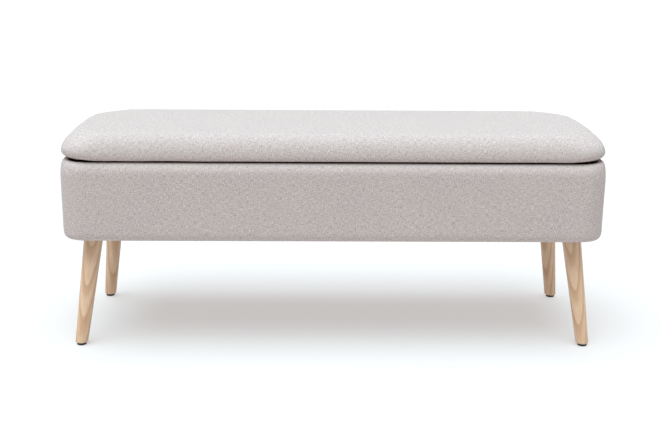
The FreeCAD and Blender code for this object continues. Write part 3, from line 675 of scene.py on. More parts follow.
# %% Lid cushion: the rows
CROWN = 1.0 * MM
SEAT_EDGE = lid_high.z - 0.5 * MM
lid_outline = lid_plan.row(0.0, 0.0)
at_end = ease(np.abs(lid_outline[:, 0]), 0.46, 0.55)
at_corner = ease(np.abs(lid_plan.normal[:, 0] * lid_plan.normal[:, 1]), 0.02, 0.35)
at_front = ease(-lid_plan.normal[:, 1], 0.5, 1.0)
bow = np.clip(1 - (lid_outline[:, 1] / 0.125) ** 2, 0, 1) * at_end
turning = 2 * np.abs(lid_plan.normal[:, 0] * lid_plan.normal[:, 1])
SEAT_ROUNDER = 34 * MM
STRIP_INSET = 38.5 * MM
top_round = 38 * MM + 8 * MM * at_end - 7 * MM * bow
softness = 1.0 + 0.25 * at_end * (1 - bow) + 0.6 * turning
seat_edge = SEAT_EDGE - 1.5 * MM * turning
open_corner = np.maximum(at_corner, ease(np.abs(lid_outline[:, 0]), 0.49, 0.56))
droop = 1.3 * MM * at_front * (1 - open_corner)
droop = droop + 0.5 * MM * wander(lid_outline, 13.0, 4) * (1 - open_corner)
tuck_in = 11 * MM + 5.5 * MM * open_corner + 0.7 * MM * wander(lid_outline, 14.0, 1)
tuck_up = 11 * MM + 2.5 * MM * open_corner + 0.6 * MM * wander(lid_outline, 11.0, 2)
widest = lid_low.z + tuck_up
side_in = 0.2 * MM - 1.2 * MM * at_end + 0.5 * MM * wander(lid_outline, 9.0, 3)
STRIP_SHARES = (0.75, 0.5, 0.25, 0.0)


def lid_rows():
    """Rings from the edge of the seat, down the side and under to the strip's edge."""
    rows = []
    fall = seat_edge - widest
    for turn in np.linspace(90, 0, 15):
        angle = math.radians(turn)
        inset = side_in + top_round * (1 - max(math.cos(angle), 0.0) ** softness)
        rounder = SEAT_ROUNDER * (1 - max(math.cos(angle), 0.0))
        rows.append(lid_plan.row(inset, widest + fall * math.sin(angle), rounder))
    for turn in np.linspace(15, 90, 6):
        angle = math.radians(turn)
        inset = side_in + tuck_in * (1 - math.cos(angle))
        rows.append(lid_plan.row(inset, widest - (tuck_up + droop) * math.sin(angle)))
    pleats = 0.5 * MM * np.sin(np.arctan2(lid_plan.normal[:, 1], lid_plan.normal[:, 0]) * 44)
    cornering = ease(np.abs(lid_plan.normal[:, 0] * lid_plan.normal[:, 1]), 0.02, 0.3)
    for share in STRIP_SHARES:
        inset = STRIP_INSET + (side_in + tuck_in - STRIP_INSET) * share
        height = lid_low.z + pleats * cornering * (1 - share) + 0.5 * MM * cornering * (1 - share)
        rows.append(lid_plan.row(inset, height - droop * share ** 2))
    return rows


print("lid side has", len(lid_rows()), "rings of", lid_plan.count, "points")


# %% [markdown]
# The weave map of the lid unrolls the sheet: a point on the side lies as far outside
# the seat's edge as the cloth has run down to reach it, straight out along the plan's
# outward direction.

# %% Lid cushion: the mesh
def lid_mesh():
    """The cushion, and the number of its points before the hidden rings on the board."""
    skin = Skin()
    rows = lid_rows()
    seat = coons(rows[0], lid_plan)
    dome_x = 1 - (seat[:, 0] / (LID_LENGTH / 2 - 46 * MM)) ** 2
    dome_y = 1 - (seat[:, 1] / (LID_DEPTH / 2 - 38 * MM)) ** 2
    seat[:, 2] += CROWN * np.clip(dome_x, 0, 1) ** 0.5 * np.clip(dome_y, 0, 1)
    ring = skin.add_grid(seat, lid_plan)
    outward = lid_plan.normal
    edge = (rows[0][:, :2] * outward).sum(axis=1)
    run = np.zeros(lid_plan.count)
    place = rows[0][:, :2].copy()
    for before, after in zip(rows, rows[1:]):
        run = run + np.linalg.norm(after - before, axis=1)
        new_ring = skin.add_points(after)
        still = (after[:, :2] * outward).sum(axis=1)
        new_place = after[:, :2] + outward * (edge + run - still)[:, None]
        skin.join_laid(ring, new_ring, place, new_place)
        ring = new_ring
        place = new_place
    held = len(skin.points)
    for after in (lid_plan.row(STRIP_INSET, lid_board_low.z),
                  lid_plan.row(LID_BOARD_EDGE, lid_board_low.z),
                  lid_plan.row(LID_BOARD_EDGE, lid_board_high.z)):
        new_ring = skin.add_points(after)
        skin.join_laid(ring, new_ring, place, place)
        ring = new_ring
    return skin.finish("lid_cushion", upholstery), held


lid_cushion, lid_held = lid_mesh()
print("lid cushion has", len(lid_cushion.data.polygons), "faces before the cloth settles")


# %% [markdown]
# ## Let the cloth settle
# The shape so far is what a draughtsman would draw. Real cloth over foam swells a
# little between the places where it is held, and slackens where it gathers. Blender's
# cloth solver does that: the underside is pinned where the staples are, air pressure
# stands for the foam, and twenty steps are enough. Each point may move only a few
# millimetres, so the bench keeps its size.

# %% Cloth helper
def settle(item, pinned, pressure, cap, steps=20):
    """Run cloth with some points pinned, and keep at most `cap` metres of its motion."""
    rest = np.array([vertex.co[:] for vertex in item.data.vertices])
    item.vertex_groups.new(name="held").add(list(pinned), 1.0, "REPLACE")
    cloth = item.modifiers.new("cloth", "CLOTH")
    cloth.settings.quality = 6
    cloth.settings.mass = 0.35
    cloth.settings.tension_stiffness = 18
    cloth.settings.compression_stiffness = 18
    cloth.settings.shear_stiffness = 6
    cloth.settings.bending_stiffness = 2.0
    cloth.settings.vertex_group_mass = "held"
    cloth.settings.pin_stiffness = 1.0
    cloth.settings.use_pressure = True
    cloth.settings.uniform_pressure_force = pressure
    cloth.settings.effector_weights.gravity = 0
    cloth.collision_settings.use_collision = False
    cloth.point_cache.frame_start = 1
    cloth.point_cache.frame_end = steps
    scene = bpy.context.scene
    for step in range(1, steps + 1):
        scene.frame_set(step)
    evaluated = item.evaluated_get(bpy.context.evaluated_depsgraph_get())
    moved = np.array([vertex.co[:] for vertex in evaluated.data.vertices]) - rest
    item.modifiers.clear()
    item.vertex_groups.clear()
    scene.frame_set(1)
    length = np.linalg.norm(moved, axis=1)
    share = cap * np.tanh(length / cap) / np.maximum(length, 1e-9)
    item.data.vertices.foreach_set("co", (rest + moved * share[:, None]).ravel())
    item.data.update()
    return float(length.max()), float((length * share).max())


strip_start = lid_held - len(STRIP_SHARES) * lid_plan.count
pins = range(strip_start, len(lid_cushion.data.vertices))
moved = settle(lid_cushion, pins, pressure=4.0, cap=2 * MM)
print("lid cloth moved", [round(part / MM, 1) for part in moved], "mm, before and after the cap")
subdivide(lid_cushion)
close_hole(lid_cushion)
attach(lid_cushion, "lid")
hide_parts("lid_cover", "lid_foam")
print("lid cushion has", len(lid_cushion.data.polygons), "faces")


# %% [markdown]
# ## The upholstered box
# The walls wear ten millimetres of foam under the same cloth. The cloth starts inside
# the rim, turns over it, runs down the wall and is stapled under the base. It is a
# closed ring, so it is made of rings all the way: the outside first, then back along
# the panels. Its one sewn seam is at the back, where nobody looks, and that is where
# the weave map starts as well.

# %% Box upholstery: the rows
box_plan = Plan(BOX_LENGTH, BOX_DEPTH, BOX_CORNER, 8 * MM)
box_outline = box_plan.row(0.0, 0.0)
box_end = ease(np.abs(box_outline[:, 0]), 0.53, 0.598)
RIM = box_high.z
rim_in = 17 * MM - 3.7 * MM * box_end
rim_down = 22 * MM + 18 * MM * box_end
end_pull = 4 * MM * box_end * np.abs(box_plan.normal[:, 0])
base_in = 19 * MM - 5 * MM * box_end
base_up = 19 * MM - 4 * MM * box_end


def box_rows():
    """Rings from inside the rim, over it, down the wall and under the base."""
    rows = []
    rows.append(box_plan.row(25 * MM, lining_high.z))
    rows.append(box_plan.row(25 * MM, lining_high.z + 8 * MM))
    rows.append(box_plan.row(25 * MM, RIM - 3.5 * MM))
    rows.append(box_plan.row(24.3 * MM, RIM - 1.2 * MM))
    rows.append(box_plan.row(22.6 * MM, RIM - 0.2 * MM))
    for share in (0.66, 0.33, 0.0):
        rows.append(box_plan.row(rim_in + (21 * MM - rim_in) * share, RIM))
    reach = rim_in - end_pull
    for turn in np.linspace(75, 0, 6):
        angle = math.radians(turn)
        rows.append(box_plan.row(end_pull + reach * (1 - math.cos(angle)),
                                 RIM - rim_down * (1 - math.sin(angle))))
    top = RIM - rim_down
    bottom = box_low.z + base_up
    for share in np.linspace(0, 1, 18)[1:]:
        rows.append(box_plan.row(end_pull, top + (bottom - top) * share))
    for turn in np.linspace(15, 90, 6):
        angle = math.radians(turn)
        rows.append(box_plan.row(end_pull + (base_in - end_pull) * (1 - math.cos(angle)),
                                 bottom - base_up * math.sin(angle)))
    rows.append(box_plan.row(24.5 * MM, box_low.z))
    rows.append(box_plan.row(30 * MM, box_low.z))
    return rows


print("box cloth has", len(box_rows()), "rings of", box_plan.count, "points")


# %% [markdown]
# Cloth pulled over foam is never quite flat. A wide, shallow wander moves the wall by
# under a millimetre, a few long tension lines fan out of the corners, and the closing
# seam draws a fine groove.

# %% Box upholstery: relief
SEAM_X = -0.30
CLOTH_SUNK = 0.6 * MM


def relief(points, outward):
    """How far each point of a wall stands out, in metres."""
    wide = wander(points, 5.0, 11) * 0.8 * MM
    small = wander(points * np.array([1.0, 1.0, 2.2]), 22.0, 12) * 0.22 * MM
    around = np.arctan2(outward[:, 1], outward[:, 0])
    cornering = ease(np.abs(outward[:, 0] * outward[:, 1]), 0.02, 0.45)
    pull = np.sin(around * 18 + points[:, 2] * 30) * cornering * 0.18 * MM
    seam = np.exp(-((points[:, 0] - SEAM_X) / (1.6 * MM)) ** 2) * (points[:, 1] > 0.15)
    return wide + small + pull - 0.9 * MM * seam


BACKING = [
    (30 * MM, board_low.z), (19 * MM, board_low.z + 0.2 * MM), (PANEL_OUTSIDE, board_low.z + 3 * MM),
    (PANEL_OUTSIDE, board_low.z + 82 * MM), (PANEL_OUTSIDE, panel_high.z - 1.5 * MM),
    (14 * MM, panel_high.z - 0.1 * MM), (PANEL_INSIDE, panel_high.z - 0.1 * MM),
    (PANEL_INSIDE, lining_high.z),
]
FIRST_WALL_RING = 8
LAST_RIM_RING = 12


def box_mesh():
    """The rings with their relief, then the backing: the foam's hidden face on the panels."""
    rows = box_rows()
    outward = np.column_stack([box_plan.normal, np.zeros(box_plan.count)])
    for number, row in enumerate(rows):
        if number < FIRST_WALL_RING or number > len(rows) - 4:
            continue
        tilt = 75 - 15 * (min(number, LAST_RIM_RING + 1) - FIRST_WALL_RING)
        upright = math.cos(math.radians(tilt))
        rows[number] = row + outward * (relief(row, outward)[:, None] - CLOTH_SUNK) * upright
    seam = int(np.argmin(np.linalg.norm(
        box_outline[:, :2] - np.array([SEAM_X, BOX_DEPTH / 2]), axis=1)))
    rows = rows + [box_plan.row(inset, height) for inset, height in BACKING]
    here, there = wrap_map(box_plan, rows, seam)
    skin = Skin()
    rings = [skin.add_points(row) for row in rows]
    for number in range(len(rings) - 1):
        skin.join(rings[number], rings[number + 1], here[number], here[number + 1],
                  there[number], there[number + 1])
    skin.join(rings[-1], rings[0], here[-1], here[-1], there[-1], there[-1])
    return skin.finish("box_upholstery", upholstery)


box_upholstery = subdivide(box_mesh())
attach(box_upholstery, "base")
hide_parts("box_cover", "front_foam", "rear_foam", "left_end_foam",
            "right_end_foam", "corner_foams")
print("box upholstery has", len(box_upholstery.data.polygons), "faces")


# %% [markdown]
# ## Flat cloth pieces
# The box lining, the lid lining and the dust cover are sheets, stapled at their edges.
# Each one is drawn as a single layer and given its thickness by Solidify. A stretched
# sheet still sags a hair between its staples, and its hem is a folded double edge.

# %% A stapled sheet
SHEET_CELL = 12 * MM


def stapled_sheet(name, low, high, corner, height, hem, sag, material):
    """A flat sheet with a folded hem, its good side looking down, inside a frame box."""
    length = high.x - low.x
    depth = high.y - low.y
    facing = -1
    plan = Plan(length, depth, corner, SHEET_CELL, corner_cells=10)
    skin = Skin()
    lift = facing * 0.5 * MM
    ring_rows = [plan.row(0.0, height), plan.row(0.4 * MM, height + lift),
                 plan.row(hem * 0.5, height + lift), plan.row(hem, height + lift * 0.8),
                 plan.row(hem + 0.8 * MM, height)]
    flat = coons(ring_rows[-1], plan)
    inside_x = np.clip(1 - (np.abs(flat[:, 0]) / (length / 2 - hem)) ** 6, 0, 1)
    inside_y = np.clip(1 - (np.abs(flat[:, 1]) / (depth / 2 - hem)) ** 4, 0, 1)
    loose = inside_x * inside_y
    ripple = wander(flat, 7.0, 21) * 0.5 + 0.5 * wander(flat, 19.0, 22)
    flat[:, 2] += facing * loose * sag * ripple
    ring = skin.add_grid(flat, plan)
    for inner, outer in zip(ring_rows[:0:-1], ring_rows[-2::-1]):
        new_ring = skin.add_points(outer)
        skin.join_laid(ring, new_ring, inner[:, :2], outer[:, :2])
        ring = new_ring
    return thicken(skin.finish(name, material), 0.5 * MM)


def thicken(item, thickness):
    wall = item.modifiers.new("thickness", "SOLIDIFY")
    wall.thickness = thickness
    wall.offset = 0.0
    return bake(item)


SHEET_INSET = 22 * MM
lid_sheet_low, lid_sheet_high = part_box("lid_lining")
lid_lining = stapled_sheet(
    "lid_lining_cloth", lid_sheet_low, lid_sheet_high, LID_CORNER - SHEET_INSET,
    lid_sheet_high.z - 0.3 * MM, 10 * MM, 0.3 * MM, lining_fabric)
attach(lid_lining, "lid")
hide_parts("lid_lining")

dust_low, dust_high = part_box("dust_cover")
dust_sheet = stapled_sheet(
    "dust_cover_cloth", dust_low, dust_high, BOX_CORNER - SHEET_INSET,
    dust_high.z - 0.35 * MM, 12 * MM, 0.4 * MM, dust_cloth)
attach(dust_sheet, "base")
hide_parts("dust_cover")
print("sheets", lid_lining.name, dust_sheet.name)


# %% [markdown]
# ## The box lining
# Sewn like a shallow bag and glued to the walls: a floor, a small soft bend where the
# floor meets the walls, and walls that are slightly slack. The grid for its floor and
# the rings for its walls come from the same plan.

# %% Box lining
LINING_INSET = 24.5 * MM
LINING_LENGTH = BOX_LENGTH - 2 * LINING_INSET
LINING_DEPTH = BOX_DEPTH - 2 * LINING_INSET
lining_plan = Plan(LINING_LENGTH, LINING_DEPTH, BOX_CORNER - LINING_INSET, SHEET_CELL)


def lining_mesh():
    plan = lining_plan
    bend = 6 * MM
    floor_z = lining_low.z + 0.7 * MM
    rows = [plan.row(bend, floor_z)]
    for turn in (22.5, 45, 67.5, 90):
        angle = math.radians(turn)
        rows.append(plan.row(bend * (1 - math.sin(angle)), floor_z + bend * (1 - math.cos(angle))))
    top = lining_high.z - 0.05 * MM
    for height in np.linspace(floor_z + bend, top, 13)[1:]:
        row = plan.row(0.0, height)
        slack = 0.5 + 0.5 * wander(row * np.array([1, 1, 0.6]), 12.0, 31)
        free = ease(top - height, 0.0, 0.04)
        rows.append(plan.row(0.1 * MM + 0.7 * MM * free * slack, height))
    skin = Skin()
    flat = coons(rows[0], plan)
    edge_x = ease(LINING_LENGTH / 2 - np.abs(flat[:, 0]), bend, 0.05)
    edge_y = ease(LINING_DEPTH / 2 - np.abs(flat[:, 1]), bend, 0.05)
    flat[:, 2] += edge_x * edge_y * (1 + wander(flat, 9.0, 32)) * 0.42 * MM
    ring = skin.add_grid(flat, plan)
    here, there = wrap_map(plan, rows, plan.count // 2)
    for number, row in enumerate(rows[1:], start=1):
        new_ring = skin.add_points(row)
        skin.join(ring, new_ring, here[number - 1], here[number], there[number - 1], there[number])
        ring = new_ring
    return thicken(skin.finish("box_lining_cloth", lining_fabric), 0.6 * MM)


box_lining = lining_mesh()
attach(box_lining, "base")
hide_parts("box_lining")
print("box lining has", len(box_lining.data.polygons), "faces")


# %% [markdown]
# ## The legs
# A turned leg is a stack of circles. Each frame leg is sawn level at both ends, so its
# circles lie level too, and slide sideways as the leg leans. The foot is eased with a
# small round. Every point also keeps its place in the leg's own space for the grain,
# shifted for each leg so that no two are cut from the same piece of wood.

# %% Turned legs
LEG_TOP_RADIUS = 21.3 * MM
LEG_FOOT_RADIUS = 14 * MM
FOOT_ROUND = 2 * MM
LEG_SIDES = 72
GRAIN_SHIFT = {
    "front_left": (0.047, 0.001, 0.00, 1.50), "front_right": (0.036, -0.006, 0.31, 1.85),
    "rear_left": (0.050, 0.004, 0.62, 1.10), "rear_right": (0.039, 0.009, 0.93, 2.30),
}


def leg_circles(corner):
    """A leg from foot to top: (centre, radius, rise from the foot) of each of its circles."""
    low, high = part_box("leg_" + corner)
    sign_x = -1 if "left" in corner else 1
    sign_y = -1 if "front" in corner else 1
    far = Vector((max(abs(low.x), abs(high.x)), max(abs(low.y), abs(high.y))))
    near = Vector((min(abs(low.x), abs(high.x)), min(abs(low.y), abs(high.y))))
    foot = far - Vector((LEG_FOOT_RADIUS, LEG_FOOT_RADIUS))
    top = near + Vector((LEG_TOP_RADIUS, LEG_TOP_RADIUS))
    circles = []
    for share in [0.0, 0.0008, 0.0025, 0.005, 0.0085] + list(np.linspace(0.02, 1.0, 40)):
        rise = share * (high.z - low.z)
        radius = LEG_FOOT_RADIUS + (LEG_TOP_RADIUS - LEG_FOOT_RADIUS) * share
        if rise < FOOT_ROUND:
            radius -= FOOT_ROUND - math.sqrt(max(0.0, FOOT_ROUND ** 2 - (FOOT_ROUND - rise) ** 2))
        middle = foot + (top - foot) * share
        circles.append((Vector((sign_x * middle.x, sign_y * middle.y, low.z + rise)), radius, rise))
    return circles


def turned_leg(corner):
    shift_x, shift_y, shift_z, spin = GRAIN_SHIFT[corner]
    circles = leg_circles(corner)
    points = []
    spaces = []
    for centre, radius, rise in circles:
        for side in range(LEG_SIDES):
            turn = 2 * math.pi * side / LEG_SIDES
            dx = radius * math.cos(turn)
            dy = radius * math.sin(turn)
            points.append((centre.x + dx, centre.y + dy, centre.z))
            across = dx * math.cos(spin) - dy * math.sin(spin)
            deep = dx * math.sin(spin) + dy * math.cos(spin)
            spaces.append((across + shift_x, deep + shift_y, rise + shift_z))
    faces = []
    for start in range(0, len(points) - LEG_SIDES, LEG_SIDES):
        for side in range(LEG_SIDES):
            here = start + side
            after = start + (side + 1) % LEG_SIDES
            faces.append((here, after, after + LEG_SIDES, here + LEG_SIDES))
    faces.append(tuple(range(LEG_SIDES))[::-1])
    faces.append(tuple(range(len(points) - LEG_SIDES, len(points))))
    mesh = bpy.data.meshes.new("turned_leg_" + corner)
    mesh.from_pydata(points, [], faces)
    space = mesh.attributes.new("leg_space", "FLOAT_VECTOR", "POINT")
    space.data.foreach_set("vector", np.array(spaces, dtype=np.float32).ravel())
    mesh.materials.append(leg_wood)
    mesh.polygons.foreach_set("use_smooth", [len(face) == 4 for face in faces])
    item = bpy.data.objects.new(mesh.name, mesh)
    bpy.context.scene.collection.objects.link(item)
    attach(item, "base")
    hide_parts("leg_" + corner)
    return item


legs = [turned_leg(corner) for corner in GRAIN_SHIFT]
print("turned", len(legs), "legs")


# %% [markdown]
# ## What repeats
# Screws, staples and stitches are each one small shape, copied many times. Geometry
# Nodes are made for that: a tree takes the points as a mesh and the shape as an
# object, turns each copy the way its point faces, makes the copies real and gives them
# their finish. The tree is built here once, with named inputs, and used for all three.

# %% The copying tree
def copying_tree(name, material):
    tree = bpy.data.node_groups.new(name, "GeometryNodeTree")
    tree.interface.new_socket("Geometry", in_out="INPUT", socket_type="NodeSocketGeometry")
    tree.interface.new_socket("Shape", in_out="INPUT", socket_type="NodeSocketObject")
    tree.interface.new_socket("Size", in_out="INPUT", socket_type="NodeSocketFloat")
    tree.interface.new_socket("Size Variation", in_out="INPUT", socket_type="NodeSocketFloat")
    tree.interface.new_socket("Seed", in_out="INPUT", socket_type="NodeSocketInt")
    tree.interface.new_socket("Geometry", in_out="OUTPUT", socket_type="NodeSocketGeometry")
    made = tree.nodes.new
    inputs = made("NodeGroupInput")
    outputs = made("NodeGroupOutput")
    shape = made("GeometryNodeObjectInfo")
    turn = made("GeometryNodeInputNamedAttribute")
    turn.data_type = "FLOAT_VECTOR"
    turn.inputs["Name"].default_value = "turn"
    scatter = made("FunctionNodeRandomValue")
    scatter.data_type = "FLOAT"
    less = made("ShaderNodeMath")
    less.operation = "SUBTRACT"
    more = made("ShaderNodeMath")
    more.operation = "ADD"
    copies = made("GeometryNodeInstanceOnPoints")
    real = made("GeometryNodeRealizeInstances")
    paint = made("GeometryNodeSetMaterial")
    paint.inputs["Material"].default_value = material
    link = tree.links.new
    link(inputs.outputs["Shape"], shape.inputs["Object"])
    link(inputs.outputs["Size"], less.inputs[0])
    link(inputs.outputs["Size Variation"], less.inputs[1])
    link(inputs.outputs["Size"], more.inputs[0])
    link(inputs.outputs["Size Variation"], more.inputs[1])
    link(less.outputs[0], scatter.inputs[2])
    link(more.outputs[0], scatter.inputs[3])
    link(inputs.outputs["Seed"], scatter.inputs["Seed"])
    link(inputs.outputs["Geometry"], copies.inputs["Points"])
    link(shape.outputs["Geometry"], copies.inputs["Instance"])
    link(turn.outputs["Attribute"], copies.inputs["Rotation"])
    link(scatter.outputs[1], copies.inputs["Scale"])
    link(copies.outputs["Instances"], real.inputs["Geometry"])
    link(real.outputs["Geometry"], paint.inputs["Geometry"])
    link(paint.outputs["Geometry"], outputs.inputs["Geometry"])
    return tree


def copy_shape(name, shape, places, material, variation=0.0, seed=1):
    """Copies of a shape at (point, turn) places, as one plain mesh. The shape is used up."""
    mesh = bpy.data.meshes.new(name)
    mesh.from_pydata([tuple(point) for point, _ in places], [], [])
    turns = mesh.attributes.new("turn", "FLOAT_VECTOR", "POINT")
    turns.data.foreach_set("vector", np.array([tuple(t) for _, t in places], np.float32).ravel())
    item = bpy.data.objects.new(name, mesh)
    bpy.context.scene.collection.objects.link(item)
    tree = copying_tree(name + "_tree", material)
    copier = item.modifiers.new("copies", "NODES")
    copier.node_group = tree
    values = {"Shape": shape, "Size": 1.0, "Size Variation": variation, "Seed": seed}
    for socket in tree.interface.items_tree:
        if socket.in_out == "INPUT" and socket.name in values:
            copier[socket.identifier] = values[socket.name]
    bake(item)
    item.data.materials.clear()
    item.data.materials.append(material)
    bpy.data.objects.remove(shape)
    return item


print("the copying tree can be built for any shape")


# %% [markdown]
# ## Small turned shapes
# Screw heads and stitches are both round about an axis, as if turned on a lathe. A few
# circles of points, joined by faces, give such a shape with very few points, and a
# circle with no radius closes it with a single point.

# %% Small turned shapes
def circle(work, radius, height, sides):
    """A ring of points about Z, or a single pole where the radius is nothing."""
    turns = [2 * math.pi * side / sides for side in range(sides if radius else 1)]
    return [work.verts.new((radius * math.cos(turn), radius * math.sin(turn), height))
            for turn in turns]


def join_rings(work, rings, sides):
    """Faces between rings of points, three-cornered where a ring is a pole."""
    for first, second in zip(rings, rings[1:]):
        for side in range(sides):
            after = (side + 1) % sides
            corners = [first[side % len(first)], first[after % len(first)],
                       second[after % len(second)], second[side % len(second)]]
            work.faces.new(list(dict.fromkeys(corners)))


def source_shape(name, work):
    """An object that no collection shows, for the copies to be made from."""
    bmesh.ops.recalc_face_normals(work, faces=work.faces)
    mesh = bpy.data.meshes.new(name)
    work.to_mesh(mesh)
    work.free()
    return bpy.data.objects.new(name, mesh)


print("small shapes can be turned from circles")


# %% [markdown]
# A screw head is a shallow dome with a cross recess. The cross is pressed in by moving
# the points that lie on its two bars down to the recess floor, which needs only a few
# dozen faces and reads clearly at the size of a screw.

# %% A screw head
HEAD_SIDES = 24


def screw_head(name, radius, height, domed):
    """A head from its dome at z = domed down to -height, looking towards +Z."""
    work = bmesh.new()
    bar = 0.16 * radius
    reach = 0.55 * radius
    rings = []
    for share in (0.0, 0.16, 0.3, 0.42, 0.56, 0.75, 0.93, 1.0):
        rim_drop = 0.35 * height if share == 1.0 else 0.0
        ring = circle(work, share * radius, domed * (1 - share ** 2) - rim_drop, HEAD_SIDES)
        for point in ring:
            across = min(abs(point.co.x), abs(point.co.y))
            along = max(abs(point.co.x), abs(point.co.y))
            if across < bar and along < reach:
                point.co.z -= 0.45 * radius * (1 - 0.5 * share)
        rings.append(ring)
    rings.append(circle(work, radius, -height, HEAD_SIDES))
    join_rings(work, rings, HEAD_SIDES)
    work.faces.new(rings[-1][::-1])
    return source_shape(name, work)


print("a screw head has", HEAD_SIDES, "sides")


# %% [markdown]
# ## The screws' places
# Every screw of the frame is a solid of its own inside a node, so its place is read
# from there. Each head is turned further than the one before, because real screws stop
# where they happen to.

# %% Screws where the frame's screws are
def islands(node):
    """The (low, high) corners of each separate solid of a frame node."""
    work = bmesh.new()
    work.from_mesh(frame["nodes"][node].data)
    bmesh.ops.remove_doubles(work, verts=work.verts, dist=0.01 * MM)
    left = set(work.verts)
    found = []
    while left:
        stack = [next(iter(left))]
        island = set(stack)
        while stack:
            vertex = stack.pop()
            for edge in vertex.link_edges:
                other = edge.other_vert(vertex)
                if other not in island:
                    island.add(other)
                    stack.append(other)
        left -= island
        coordinates = np.array([vertex.co[:] for vertex in island])
        found.append((coordinates.min(axis=0), coordinates.max(axis=0)))
    work.free()
    return sorted(found, key=lambda pair: (round(pair[0][0], 4), round(pair[0][1], 4)))


SCREW_SPIN = 1.31


def screws(node, body, head_radius, head, facing, domed):
    """Screw heads where the frame's screws are, looking along facing, each turned further."""
    source = screw_head(node + "_head", head_radius, head, domed)
    turn = Vector((0, 0, 1)).rotation_difference(Vector(facing)).to_euler()
    places = []
    for number, (low, high) in enumerate(islands(node)):
        middle = (low + high) / 2
        point = [high[axis] if part > 0 else low[axis] if part < 0 else middle[axis]
                 for axis, part in enumerate(facing)]
        spun = Matrix.Rotation(number * SCREW_SPIN, 3, Vector(facing)) @ turn.to_matrix()
        lowered = Vector(point) - Vector(facing) * (0.02 * MM + domed)
        places.append((lowered, spun.to_euler()))
    item = copy_shape(node + "_heads", source, places, screw_steel)
    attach(item, body)
    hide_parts(node)
    return item


heads = [
    screws("leg_plate_screws", "base", 4 * MM, 2 * MM, (0, 0, -1), 0.7 * MM),
    screws("hinge_rim_screws", "base", 2.8 * MM, 0.8 * MM, (0, 0, 1), 0.0),
    screws("hinge_lid_screws", "lid", 2.8 * MM, 0.8 * MM, (0, 0, -1), 0.0),
    screws("stay_lid_screws", "lid", 3 * MM, 1.5 * MM, (0, 0, -1), 0.5 * MM),
]
print("screw heads", [len(item.data.polygons) for item in heads])


# %% [markdown]
# ## Staples
# A staple's crown is a short flat bar with its legs bent into the board, so only the
# crown and two small shoulders are made.

# %% One staple
def staple_shape():
    wide = 5 * MM
    thick = 0.35 * MM
    leg = 0.45 * MM
    outline = [(-wide, -leg), (-wide, 0.15 * MM), (-wide + 0.35 * MM, thick),
               (wide - 0.35 * MM, thick), (wide, 0.15 * MM), (wide, -leg)]
    inner = [(wide - 0.6 * MM, -leg), (wide - 0.7 * MM, -0.1 * MM),
             (-wide + 0.7 * MM, -0.1 * MM), (-wide + 0.6 * MM, -leg)]
    work = bmesh.new()
    section = outline + inner
    near = [work.verts.new((x, -0.55 * MM, z)) for x, z in section]
    far = [work.verts.new((x, 0.55 * MM, z)) for x, z in section]
    count = len(section)
    for number in range(count):
        after = (number + 1) % count
        work.faces.new((near[number], near[after], far[after], far[number]))
    work.faces.new(near[::-1])
    work.faces.new(far)
    return source_shape("staple", work)


print("a staple can be bent")


# %% [markdown]
# ## Staples round the sheets
# The dust cover and the lid lining are stapled a little over every forty millimetres.
# Each row follows its sheet's own outline, a little inside the edge, and small random
# steps make it as uneven as a row stapled by hand.

# %% Staples round a sheet
def staple_places(low, high, corner, inset, height, pitch, seed):
    """Places round a sheet's frame box, facing down, each staple along the edge."""
    plan = Plan(high.x - low.x, high.y - low.y, corner, 4 * MM)
    ring = plan.row(inset, height)
    loop = np.concatenate([ring, ring[:1]])
    run = np.concatenate([[0.0], np.cumsum(np.linalg.norm(np.diff(loop, axis=0), axis=1))])
    chance = np.random.default_rng(seed)
    count = int(run[-1] / pitch)
    places = []
    for number in range(count):
        at = (number + 0.5 + chance.uniform(-0.12, 0.12)) * run[-1] / count
        step = min(int(np.searchsorted(run, at)) - 1, plan.count - 1)
        point = Vector(loop[step])
        ahead = (Vector(loop[step + 1]) - point).normalized()
        skew = math.radians(chance.uniform(-7, 7))
        heading = math.atan2(ahead.y, ahead.x) + skew
        turned = Matrix.Rotation(heading, 3, "Z") @ Matrix.Rotation(math.pi, 3, "X")
        places.append((point, turned.to_euler()))
    return places


def staples(name, body, places):
    item = copy_shape(name, staple_shape(), places, staple_wire, variation=0.03, seed=4)
    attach(item, body)
    print(name, len(places), "staples")
    return item


staples("dust_cover_staples", "base", staple_places(
    dust_low, dust_high, BOX_CORNER - SHEET_INSET, 6 * MM, dust_low.z - 0.15 * MM, 42 * MM, 7))
staples("lid_lining_staples", "lid", staple_places(
    lid_sheet_low, lid_sheet_high, LID_CORNER - SHEET_INSET, 5 * MM,
    lid_sheet_low.z - 0.05 * MM, 45 * MM, 8))


# %% [markdown]
# ## Stitches
# The box cloth is a loop, closed by one seam at the back. Two rows of stitches hold
# its turned edges flat, one each side of the groove. A stitch is a small plump loaf of
# thread, tapered to its ends.

# %% Stitches beside the seam
STITCH_PITCH = 4.2 * MM
STITCH_SIDES = 8


def stitch_shape():
    outline = [(0.0, -1.6), (0.25, -1.4), (0.36, -0.8), (0.4, 0.0), (0.36, 0.8), (0.25, 1.4),
               (0.0, 1.6)]
    work = bmesh.new()
    rings = [circle(work, radius * MM, height * MM, STITCH_SIDES) for radius, height in outline]
    join_rings(work, rings, STITCH_SIDES)
    return source_shape("stitch", work)


def stitch_row(beside):
    """Places up the seam, a distance to one side of it, just proud of the cloth."""
    heights = np.arange(box_low.z + 21.5 * MM, box_high.z - 20 * MM, STITCH_PITCH)
    spots = np.array([(SEAM_X + beside, BOX_DEPTH / 2, height) for height in heights])
    outward = np.array([(0.0, 1.0, 0.0)] * len(spots))
    spots[:, 1] += relief(spots, outward) - CLOTH_SUNK + 0.1 * MM
    return [(Vector(spot), Vector((0, 0, 0))) for spot in spots]


# %% [markdown]
# ## The seam's thread
# A matt thread twisted from lighter and darker fibres. It is darker than the cloth, so
# that the stitches can be told from it.

